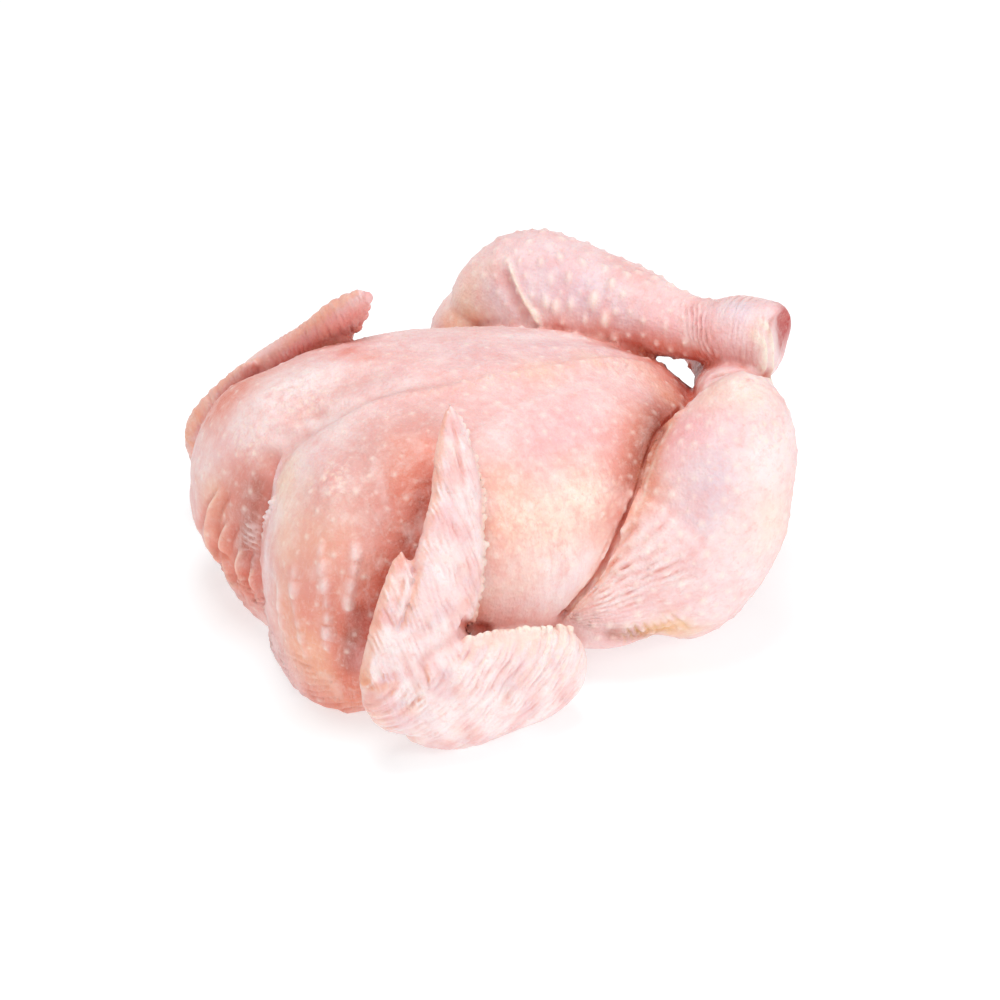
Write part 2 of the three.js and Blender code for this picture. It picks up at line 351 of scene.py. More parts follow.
def built(stations):
    """Stations of the solid's tables as points in millimetres, with their radii."""
    table = np.array(stations, float)
    table[:, 0] -= MIDDLE
    return table[:, :3] * SIZE, table[:, 3] * SIZE


# %% How much each point belongs to each limb
depth_in, along_limb = {}, {}
for name, stations in LIMBS.items():
    line, radii = built(stations)
    gap, share = reach(through(line), skin_at)
    girth = np.interp(share, np.linspace(0, 1, len(radii)), radii)
    depth_in[name] = gap / girth
    along_limb[name] = share

nearest_limb = np.min(list(depth_in.values()), axis=0)


def step(low, high, value):
    """0 below low, 1 above high and smooth in between."""
    t = np.clip((value - low) / (high - low), 0, 1)
    return t * t * (3 - 2 * t)


def belongs(*names):
    """From 0 to 1, how much each point is on these limbs."""
    own = np.min([depth_in[name] for name in names], axis=0)
    return step(1.5, 1.2, own) * step(0.25, 0.05, own - nearest_limb)


on_trunk = step(1.15, 1.45, nearest_limb)
print("share of the skin on the trunk", round(on_trunk.mean(), 2))

# %% [markdown]
# ## Sculpting tools
#
# Sculpt brushes are made for hands. Here each brush is a function that moves the skin along its normals: a
# fold along a line, a ledge beside one, pleats across a direction, and drops scattered at an even distance.

# %% Waves and folds
def waves(points, length, seed, count=40):
    """Soft random unevenness between about -1 and 1, with bumps about half of length across."""
    random = np.random.default_rng(seed)
    directions = random.normal(size=(count, 3))
    directions /= np.linalg.norm(directions, axis=1)[:, None]
    directions *= 2 * math.pi / (length * random.uniform(0.7, 1.5, (count, 1)))
    turns = random.uniform(0, 2 * math.pi, count)
    return np.sin(points @ directions.T + turns).sum(1) * math.sqrt(2 / count) / 2


def close_to(places, distance):
    """Indices of the skin's points in a box that reaches a distance past some places."""
    low, high = np.min(places, axis=0) - distance, np.max(places, axis=0) + distance
    return np.flatnonzero(((skin_at > low) & (skin_at < high)).all(1))


def spaced(line, gap, first=0.0, last=1.0, random=None):
    """Points evenly along a line, between two shares of its length, shaken a little where random is given."""
    travelled = np.r_[0, np.cumsum(np.linalg.norm(np.diff(line, axis=0), axis=1))]
    stops = np.arange(first * travelled[-1], last * travelled[-1], gap)
    if random is not None:
        stops = stops + random.uniform(-0.4, 0.4, len(stops))
    return np.array([[np.interp(s, travelled, line[:, axis]) for axis in range(3)] for s in stops])


def beside(line, width, ends=0.15):
    """From 0 to 1, how near each point is to a line, fading towards its ends."""
    near = close_to(line, 4 * width)
    gap, share = reach(line, skin_at[near])
    shape = np.exp(-((gap / width) ** 2))
    if ends:
        shape *= step(0, ends, share) * step(0, ends, 1 - share)
    where = np.zeros(len(skin_at))
    where[near] = shape
    return where


def fold(line, width, rise, ends=0.15):
    """Raises the skin along a line, or cuts into it where rise is negative. Returns where it did."""
    where = beside(line, width, ends)
    skin_at[:] += outward * (rise * where)[:, None]
    return where


def ledge(line, width, drop, towards):
    """Drops the skin on one side of a line, which gives the other a crisp edge. Returns where it dropped."""
    near = close_to(line, 4 * width)
    gap, share = reach(line, skin_at[near])
    marks = np.linspace(0, 1, len(line))
    closest = np.array([np.interp(share, marks, line[:, axis]) for axis in range(3)]).T
    over = (skin_at[near] - closest) @ towards
    where = np.zeros(len(skin_at))
    where[near] = step(-0.3, 0.5, over) * np.exp(-gap / width)
    where[near] *= step(0, 0.15, share) * step(0, 0.15, 1 - share)
    skin_at[:] -= outward * (drop * where)[:, None]
    return where


def pleats(mask, across, pitch, rise, seed, wander=1.3):
    """Wrinkles with round tops and narrow valleys under a mask. Returns how low and how high they are."""
    near = np.flatnonzero(mask > 0.02)
    slow, quick = waves(skin_at[near], 7 * pitch, seed), waves(skin_at[near], 2.5 * pitch, seed + 2)
    bend = wander * (slow + 0.3 * quick)
    ridge = np.abs(np.sin(across[near] * math.pi / pitch + bend))
    uneven = mask[near] * np.clip(0.45 + waves(skin_at[near], 4 * pitch, seed + 1), 0, 1.3)
    low, high = np.zeros(len(skin_at)), np.zeros(len(skin_at))
    low[near], high[near] = uneven * (1 - ridge) ** 2, uneven * ridge**6
    skin_at[:] += outward * (rise * (0.5 * high - low))[:, None]
    return low, high


# %% Drops
def scatter(where, spacing, seed):
    """Indices of skin points at an even distance from each other, where a mask is high."""
    random = np.random.default_rng(seed)
    candidates = random.permutation(np.flatnonzero(where > 0.25))
    cells, chosen = {}, []
    for i in candidates:
        p = skin_at[i]
        cell = tuple((p // spacing).astype(int))
        close = (cells.get((cell[0] + a, cell[1] + b, cell[2] + c), ())
                 for a in (-1, 0, 1) for b in (-1, 0, 1) for c in (-1, 0, 1))
        if all(((p - skin_at[j]) @ (p - skin_at[j])) > spacing**2 for group in close for j in group):
            cells.setdefault(cell, []).append(i)
            chosen.append(i)
    return np.array(chosen)


def drops(centres, long, wide, rise, lean, seed, strength=None):
    """Raises a drop at each of some points, long in the direction lean. Returns how high each point is."""
    random = np.random.default_rng(seed)
    tree = kdtree.KDTree(len(centres))
    for k, p in enumerate(centres):
        tree.insert(p, k)
    tree.balance()
    near = close_to(centres, 3 * long)
    found = np.array([tree.find(p)[1] for p in skin_at[near]])
    offset = skin_at[near] - np.array(centres)[found]
    along = lean - (lean * outward[near]).sum(1)[:, None] * outward[near]
    along /= np.maximum(np.linalg.norm(along, axis=1), 1e-6)[:, None]
    run = (offset * along).sum(1)
    rest = (offset**2).sum(1) - run**2
    size = random.uniform(0.7, 1.3, len(centres))[found]
    height = np.zeros(len(skin_at))
    height[near] = size * np.exp(-(((run / (long * size)) ** 2 + rest / (wide * size) ** 2) ** 1.15))
    if strength is not None:
        height *= strength
    skin_at[:] += outward * (rise * height)[:, None]
    return height


DOWN = np.array([0.0, 0.0, -1.0])
crests = np.zeros(len(skin_at))  # pale tops of bumps and ribs
# Painted shade: how deep and red the skin is painted in folds, creases and grooves, starting from the
# gutters.
painted_fold_shade = gutter.astype(float)  # the red or grey depth of folds

# %% [markdown]
# ## The big soft forms
#
# Under the skin lie the breast muscle, its ridge towards the keel and pads of fat, and none of them is even.
# Long waves give that unevenness everywhere, and a few wide folds put the forms that the eye knows in place.

# %% The big soft forms
on_top = on_trunk * step(45, 65, skin_at[:, 2])
uneven = (0.8 - 0.5 * on_top) * waves(skin_at, 34, 1) + (0.3 - 0.2 * on_top) * waves(skin_at, 13, 2)
skin_at += outward * uneven[:, None]

VALLEY = [(262, 470), (283, 449), (317, 428), (353, 408), (385, 394), (425, 383), (470, 375)]
KEEL = [(300, 446), (345, 416), (390, 397), (437, 390), (483, 381), (533, 372), (583, 364), (630, 362),
        (658, 368)]
MUSCLE_EDGE = [(466, 452), (473, 433), (497, 413), (527, 397), (556, 385), (590, 377)]
MUSCLE_TOP = [(492, 450), (512, 425), (545, 407), (585, 395), (620, 392)]
keel = seen_line(*KEEL)
painted_fold_shade += 0.25 * fold(seen_line(*VALLEY), 4.0, -1.3)
fold(keel, 2.4, 1.0)
fold(seen_line(*MUSCLE_EDGE), 3.0, -0.8)
fold(seen_line(*MUSCLE_TOP), 8, 1.0)
settle()

# %% Scales of fat along the keel
keel_band = beside(keel, 4.0, ends=0.3) * step(-62, -20, skin_at[:, 0])
keel_scales = drops(skin_at[scatter(keel_band, 2.0, 3)], 0.8, 0.8, 0.3, DOWN, 4, keel_band)
settle()

# %% [markdown]
# ## The neck end
#
# Where the neck was cut, the skin of the crop hangs in two lobes. Each feather grew from a small raised sac
# and the sacs stand in rows, so the far lobe shows curved ribs and the near one columns of pale drops. The
# near lobe lies over the far one with an edge that has a few white frills. A repeating texture would put ribs
# everywhere, so each rib and each column of drops follows a line of its own.

# %% The edge between the lobes
LOBE_EDGE = [(282, 449), (275, 470), (270, 495), (264, 525), (262, 555), (264, 590), (266, 612)]
FRILLS = [(273, 498), (268, 512), (263, 528), (259, 545), (259, 556)]
STRANDS = [(267, 492), (261, 507), (256, 522), (252, 538), (251, 556), (254, 572)]
TOWARDS_FAR_LOBE = np.array([-0.45, 0.85, -0.1])
FRILLS_LEAN = np.array([-1.0, 0.4, 0.2])
painted_fold_shade += 0.8 * ledge(seen_line(*LOBE_EDGE), 5, 3.0, TOWARDS_FAR_LOBE)
settle()
frill_line = seen_line(*FRILLS)
frills = drops(frill_line[::2], 1.7, 0.8, 1.6, FRILLS_LEAN, 8)
frills += drops(frill_line[1::2] + (0.4, -1.4, 0), 1.3, 0.7, 1.1, FRILLS_LEAN, 9)
settle()
strands = drops(seen_line(*STRANDS), 3.2, 0.55, 0.8, FRILLS_LEAN, 10)
settle()

# %% Ribs of the far lobe
RIBS = [
    ((226, 488), (214, 504), (209, 524), (212, 547), (224, 566)),
    ((234, 518), (225, 534), (222, 553), (229, 574), (243, 594)),
    ((246, 545), (239, 561), (241, 578), (252, 598)),
    ((257, 566), (252, 578), (256, 592), (263, 602)),
]
rib_tops = np.zeros(len(skin_at))
for spots in RIBS:
    rib_tops = np.maximum(rib_tops, fold(seen_line(*spots), 1.25, 2.0, ends=0.12))
    for shift in (-7, 7):
        painted_fold_shade += 0.6 * fold(seen_line(*[(c + shift, r + 2) for c, r in spots]), 1.6, -1.3, ends=0.15)
settle()

# %% Columns of drops on the near lobe
COLUMNS = [  # spots of the picture and how strongly the drops stand out
    (((321, 550), (324, 575), (327, 600), (328, 625), (326, 650)), 1.0),
    (((295, 572), (297, 600), (301, 628), (305, 658)), 0.9),
    (((281, 592), (281, 612), (284, 634)), 0.8),
    (((356, 552), (353, 575), (349, 597), (347, 615)), 0.9),
    (((374, 468), (384, 494), (378, 520)), 0.4),
]
DROP_GAP = 6.0
lobe_drops = np.zeros(len(skin_at))
for k, (spots, strength) in enumerate(COLUMNS):
    column = seen_line(*spots)
    lobe_drops += strength * drops(spaced(column, DROP_GAP), 3.0, 1.7, strength, DOWN, 11 + k)
    fold(column, 2.4, strength)
settle()

# %% Wrinkles under the neck end
chin = step(28, 12, skin_at[:, 2]) * step(-62, -80, skin_at[:, 0]) * on_trunk
chin_low, _ = pleats(chin, skin_at[:, 2] + 0.35 * skin_at[:, 1], 2.9, 0.8, 14)
painted_fold_shade += 0.5 * chin_low
settle()

# %% [markdown]
# ## The crease between the breast and the thigh
#
# The thigh's skin runs forward in a web and lies over the side of the breast with a thin edge of fat. The
# remesh left the crease where the two forms meet. It gets a lip on the thigh's side, and ridges that fan out
# from the point of the web. A separate sheet could lie over the breast with a crisper edge, but the skin of a
# bird is in one piece, so the lip is a fold of it.

# %% The crease and the web
CREASE = [(686, 403), (672, 417), (657, 432), (648, 452), (637, 485), (629, 508), (620, 530), (603, 566),
          (588, 587), (570, 606), (556, 620)]
crease = seen_line(*CREASE)
lip = seen_line(*[(c + 5, r + 3) for c, r in CREASE])
painted_fold_shade *= 1 - 0.8 * beside(crease, 5, ends=0.1)  # one sharp line takes the place of the gutter's soft dark
painted_fold_shade += 0.9 * fold(crease, 0.8, -1.3, ends=0.05)
lip_crest = fold(lip, 1.1, 1.7, ends=0.06)

WEB_POINT, WEB_END = (552, 624), (640, 522)
web_point = seen(*WEB_POINT)
out_along_web = seen(*WEB_END) - web_point
out_along_web /= np.linalg.norm(out_along_web)
on_web = belongs("right_thigh", "right_web")
from_point = skin_at - web_point
far_from_point = np.linalg.norm(from_point, axis=1)
side_of_web = np.cross(out_along_web, (0.2, -0.9, 0.35))
fan_angle = np.arctan2(from_point @ side_of_web, from_point @ out_along_web)
length_of_fan = step(2, 9, far_from_point) * step(66, 36, far_from_point)
fan = on_web * length_of_fan * np.exp(-(((fan_angle - 0.2) / 0.34) ** 2))
fan_low, fan_high = pleats(fan, fan_angle * 30, 2.0, 0.7, 5, wander=0.25)
pleats(on_web * length_of_fan * step(1.5, 0.9, np.abs(fan_angle)), fan_angle * 21, 1.7, 0.3, 9, wander=0.4)
settle()
print("web point", web_point.round(1))

# %% The thigh's top edge, against the knuckle behind it
KNUCKLE_EDGE = [(706, 380), (726, 373), (745, 371), (765, 374), (778, 380)]
THIGH_FOOT = [(606, 628), (632, 626), (655, 626), (676, 625), (698, 619)]
painted_fold_shade += 0.7 * fold(seen_line(*KNUCKLE_EDGE), 1.1, -0.9, ends=0.1)
foot_bumps = beside(seen_line(*THIGH_FOOT), 7, ends=0.2)
foot_low, _ = pleats(foot_bumps, skin_at[:, 0] + 0.8 * skin_at[:, 2], 3.6, 0.9, 7, wander=2.4)
settle()

# %% [markdown]
# ## The legs
#
# Behind the knee the skin folds into a pale strip, the calf carries the largest goose bumps of the bird, and
# the skin is loose and wrinkled where the leg was cut at the hock. The bumps could be scattered spheres, but
# raised skin runs softly into what is round it.

# %% The fold behind the knee
STRIP = [(508, 256), (512, 271), (517, 285), (524, 300), (532, 313), (542, 324)]
BESIDE_STRIP = [(503, 268), (508, 284), (514, 298), (522, 312), (531, 322)]
STRIP_FOOT = [(522, 296), (531, 310), (541, 323)]
painted_fold_shade += 0.5 * fold(seen_line(*BESIDE_STRIP), 2.2, -1.7)
strip_crest = fold(seen_line(*STRIP), 0.9, 1.6, ends=0.08)
strip_crest += fold(seen_line(*STRIP_FOOT), 1.5, 0.9, ends=0.25)
settle()

# %% Goose bumps
CALF_DROPS = [(551, 279), (569, 277), (589, 281), (612, 284), (560, 257), (541, 262), (520, 262), (594, 300),
              (556, 307), (571, 305), (546, 303), (627, 275), (647, 285), (645, 302), (665, 292), (605, 320),
              (614, 340), (585, 320), (666, 325), (630, 312), (583, 262), (606, 267)]
calf = belongs("left_drumstick")
down_leg = along_limb["left_drumstick"]
hock = calf * step(0.62, 0.72, down_leg)
thigh = belongs("right_thigh", "right_web", "left_thigh", "left_web", "right_drumstick")
calf_centres = np.array([seen(*spot) for spot in CALF_DROPS])
clear = np.min([np.linalg.norm(skin_at - c, axis=1) for c in calf_centres], axis=0) > 5
calf_bumps = calf * step(0.1, 0.2, down_leg) * (1 - hock)
crests += 1.2 * drops(calf_centres, 2.6, 1.4, 1.5, DOWN, 20)
crests += 0.9 * drops(skin_at[scatter(calf_bumps * clear, 5.2, 21)], 1.3, 1.0, 0.8, DOWN, 22, calf_bumps)
crests += 0.9 * drops(skin_at[scatter(thigh, 5.2, 23)], 1.1, 1.0, 0.36, DOWN, 24, thigh)
crests += 0.8 * drops(skin_at[scatter(on_trunk, 6.4, 25)], 0.8, 0.8, 0.24, DOWN, 26, on_trunk)
settle()
TUFTS = [(642, 350), (660, 354), (676, 359), (690, 366)]
tuft_drops = drops(seen_line(*TUFTS)[::2], 1.0, 0.8, 0.7, DOWN, 27)
settle()
print("crests", crests.max().round(2))

# %% Wrinkles of the hocks
hidden_leg = belongs("right_drumstick")
hidden_hock = hidden_leg * step(0.5, 0.7, along_limb["right_drumstick"])
ANKLE = [(700, 312), (702, 328), (708, 345)]
ankle = beside(seen_line(*ANKLE), 7, ends=0)
HOCK_RINGS = ((hock, down_leg * 115, 3.1, 0.22, 31), (ankle, skin_at @ (0.8, -0.5, 0.3), 2.1, 1.1, 35),
              (hidden_hock, along_limb["right_drumstick"] * 95, 2.6, 0.5, 33))
ring_low = sum(pleats(*ring, wander=1.8)[0] for ring in HOCK_RINGS)
painted_fold_shade += 0.5 * ring_low
settle()


# %% The cut ends of the legs
def cut_end(centre, axis, radius):
    """Shapes the cut end of a leg and returns masks of its red hollow, its white tendons and its rim."""
    axis = np.array(axis) / np.linalg.norm(axis)
    up = -DOWN + axis * (DOWN @ axis)
    up /= np.linalg.norm(up)
    offset = (skin_at - centre) / radius
    height, rise, across = offset @ axis, offset @ up, offset @ np.cross(up, axis)
    out = np.hypot(rise, across)
    face = step(-0.6, -0.35, height) * step(0.6, 0.4, height) * step(1.3, 1.1, out)
    pit = face * np.exp(-(((across - 0.4) / 0.55) ** 2) - ((rise - 0.2) / 0.7) ** 2)
    tendons = face * sum(np.exp(-(((across - a) / 0.1) ** 2)) for a in (-0.85, -0.55))
    tendons *= step(1.1, 0.8, abs(rise))
    rim = face * np.exp(-(((out - 0.92) / 0.12) ** 2)) * step(-0.5, 0.1, across)
    skin_at[:] += (axis * radius) * (0.09 * tendons + 0.08 * rim - 0.16 * pit)[:, None]
    return face, pit, tendons, rim


hock_cut = cut_end((94.9, -19.3, 85.6), (0.645, -0.762, 0.059), 12.9)
hidden_cut = cut_end(HIDDEN_HOCK, (5, 16, -4), 12.4)
settle()

# %% [markdown]
# ## The wings
#
# A wing is thin skin over bone, with a frilled edge where the flight feathers were pulled out. The wrinkles
# run along the hand and slantwise over the arm. Each set of wrinkles is a wave across one direction, because
# plain noise would have no grain.

# %% Wrinkles of the wings
hand = belongs("right_hand", "left_hand", "right_thumb", "left_thumb")
arm = belongs("right_arm", "left_arm")
slant = skin_at @ (0.62, 0.0, -0.78)
hand_across = skin_at @ (0.9, -0.1, 0.28)
at_wrist = hand * arm > 0.5
hand_across += (slant - hand_across)[at_wrist].mean()  # so the wrinkles of arm and hand meet there
WING_FOLDS = ((arm, slant, 4.6, 0.4, 41), (arm, slant + 0.2 * skin_at[:, 2], 1.9, 0.28, 43),
              (hand, hand_across, 4.0, 0.36, 45), (hand, hand_across, 1.8, 0.26, 47))
wing_low = np.zeros(len(skin_at))
for folds in WING_FOLDS:
    wing_low += 0.7 * pleats(*folds)[0]
    settle()
painted_fold_shade += 0.3 * wing_low

# %% Frilled edges
BLADE = np.array([0.894, 0.0, -0.447])  # the way a raised hand is wide
WIDE_HAND, WIDE_ARM = (16.7, 18.3, 15.8, 11.7, 5.3), (13.2, 20.2, 24.2, 19.8)  # the solid's half widths
FRILL_GAP = 3.0


def frilled(stations, widths, way, first, last, seed):
    """Raises teeth along a wing's edge, between two shares of its length. Returns how high each point is."""
    line, _ = built(stations)
    edge = through(line + np.outer(np.array(widths) * SIZE, way), 8)
    teeth = spaced(edge, FRILL_GAP, first, last, np.random.default_rng(seed))
    teeth = np.array([skin_tree.find_nearest(Vector(tooth * MM))[0] for tooth in teeth]) / MM
    return drops(teeth, 2.0, 0.95, 1.9, np.cross(way, (0.0, 1.0, 0.0)), seed)


frill = np.zeros(len(skin_at))
for k, name in enumerate(("right_hand", "left_hand")):
    frill += frilled(LIMBS[name], WIDE_HAND, BLADE, 0.1, 0.97, 51 + k)
for k, name in enumerate(("right_arm", "left_arm")):
    frill += frilled(LIMBS[name], WIDE_ARM, -DOWN, 0.0, 0.62, 53 + k)
trailing = hand * step(0.5, 0.85, outward @ BLADE) + arm * step(0.5, 0.85, outward[:, 2])
settle()

# %% Grooves and pits of the near wing, with painted shade in them
THUMB_EDGE = [(409, 556), (411, 572), (409, 590), (405, 606), (399, 622), (393, 636)]
THUMB_RIM = [(405, 562), (406, 577), (404, 592), (400, 607)]
HAND_GROOVE = [(452, 414), (457, 440), (461, 468), (466, 495)]
ELBOW_PIT = [(461, 622), (470, 627), (482, 630), (492, 628)]
ARM_GROOVES = [[(445, 696), (452, 684), (464, 676)], [(502, 704), (508, 692), (514, 681)],
               [(413, 668), (428, 653), (446, 640)], [(404, 640), (420, 632), (436, 622)]]
WRIST_DENT = [(385, 672), (392, 664)]
AWAY_FROM_THUMB = np.array([0.9, 0.1, 0.3])
beside_thumb = ledge(seen_line(*THUMB_EDGE), 3.0, 2.6, AWAY_FROM_THUMB)
fold(seen_line(*THUMB_RIM), 1.0, 0.8)
painted_fold_shade += 0.4 * fold(seen_line(*HAND_GROOVE), 1.0, -0.9)
painted_fold_shade += 0.8 * fold(seen_line(*ELBOW_PIT), 2.2, -2.2, ends=0.1)
for spots in ARM_GROOVES:
    painted_fold_shade += 0.15 * fold(seen_line(*spots), 1.8, -0.7, ends=0.3)
fold(seen_line(*WRIST_DENT), 5, -0.9, ends=0)
settle()

# %% [markdown]
# ## Paint
#
# Raw skin has no single colour. It is white where it is stretched, cream over fat, pink or lavender over
# muscle, and salmon where it sags. Shade is painted in as well, dark and red in creases and sheltered places,
# with pale highlights on the tops of muscles and rims. Painting that by hand in the viewport would do, but
# spots of a few named tones that fade into each other can be read and changed later. They go into a colour
# attribute.

# %% Tones
# The dusk, russet, umber and shade tones are painted shade. Pale also paints highlights, and salmon and coral
# also paint shade; the other tones are the skin's own colours.
TONES = {
    "pale": (0.94, 0.81, 0.80), "blush": (0.90, 0.665, 0.675), "skin": (0.87, 0.545, 0.53),
    "pink": (0.86, 0.44, 0.46), "cream": (0.91, 0.60, 0.47), "peach": (0.88, 0.42, 0.27),
    "salmon": (0.81, 0.26, 0.17), "coral": (0.73, 0.17, 0.10), "red": (0.47, 0.045, 0.04),
    "lavender": (0.74, 0.53, 0.57), "blue": (0.66, 0.56, 0.66), "amber": (0.80, 0.46, 0.18),
    "bone": (0.93, 0.86, 0.74), "butter": (0.94, 0.74, 0.58), "shade_dusk": (0.66, 0.33, 0.29),
    "shade_russet": (0.40, 0.09, 0.05), "shade_umber": (0.38, 0.095, 0.04), "shade": (0.24, 0.07, 0.045),
}
tone = np.tile(TONES["skin"], (len(skin_at), 1))
print(len(TONES), "tones")


def paint(name, cover):
    """Lays a tone over the skin where a mask is high."""
    tone[:] += np.clip(cover, 0, 1)[:, None] * (np.array(TONES[name]) - tone)


def near_spot(column, row, radius):
    """From 1 at a spot of the picture to 0 away from it, for each point of the skin."""
    return np.exp(-((np.linalg.norm(skin_at - seen(column, row), axis=1) / radius) ** 2))


def dab(name, place, radius, strength):
    """Lays a spot of a tone over the skin, with an uneven edge."""
    gap = np.linalg.norm(skin_at - place, axis=1)
    near = np.flatnonzero(gap < 2.2 * radius)
    own_seed = int(100 * radius + abs(place[0]))
    uneven = 1 + 0.4 * waves(skin_at[near], radius, own_seed, 12)
    cover = strength * np.exp(-((gap[near] / radius) ** 2) * uneven)
    tone[near] += cover[:, None] * (np.array(TONES[name]) - tone[near])


# %% A blush on the limbs, and painted shade that follows the shelter
paint("blush", 0.35 * (1 - on_trunk))
# Painted shade: salmon and coral deepen where the skin is sheltered, less on the thigh's web.
paint("salmon", 0.8 * step(0.25, 0.7, sheltered) * (1 - 0.6 * on_web))
paint("coral", 0.7 * step(0.55, 0.9, sheltered) * (1 - 0.6 * on_web))

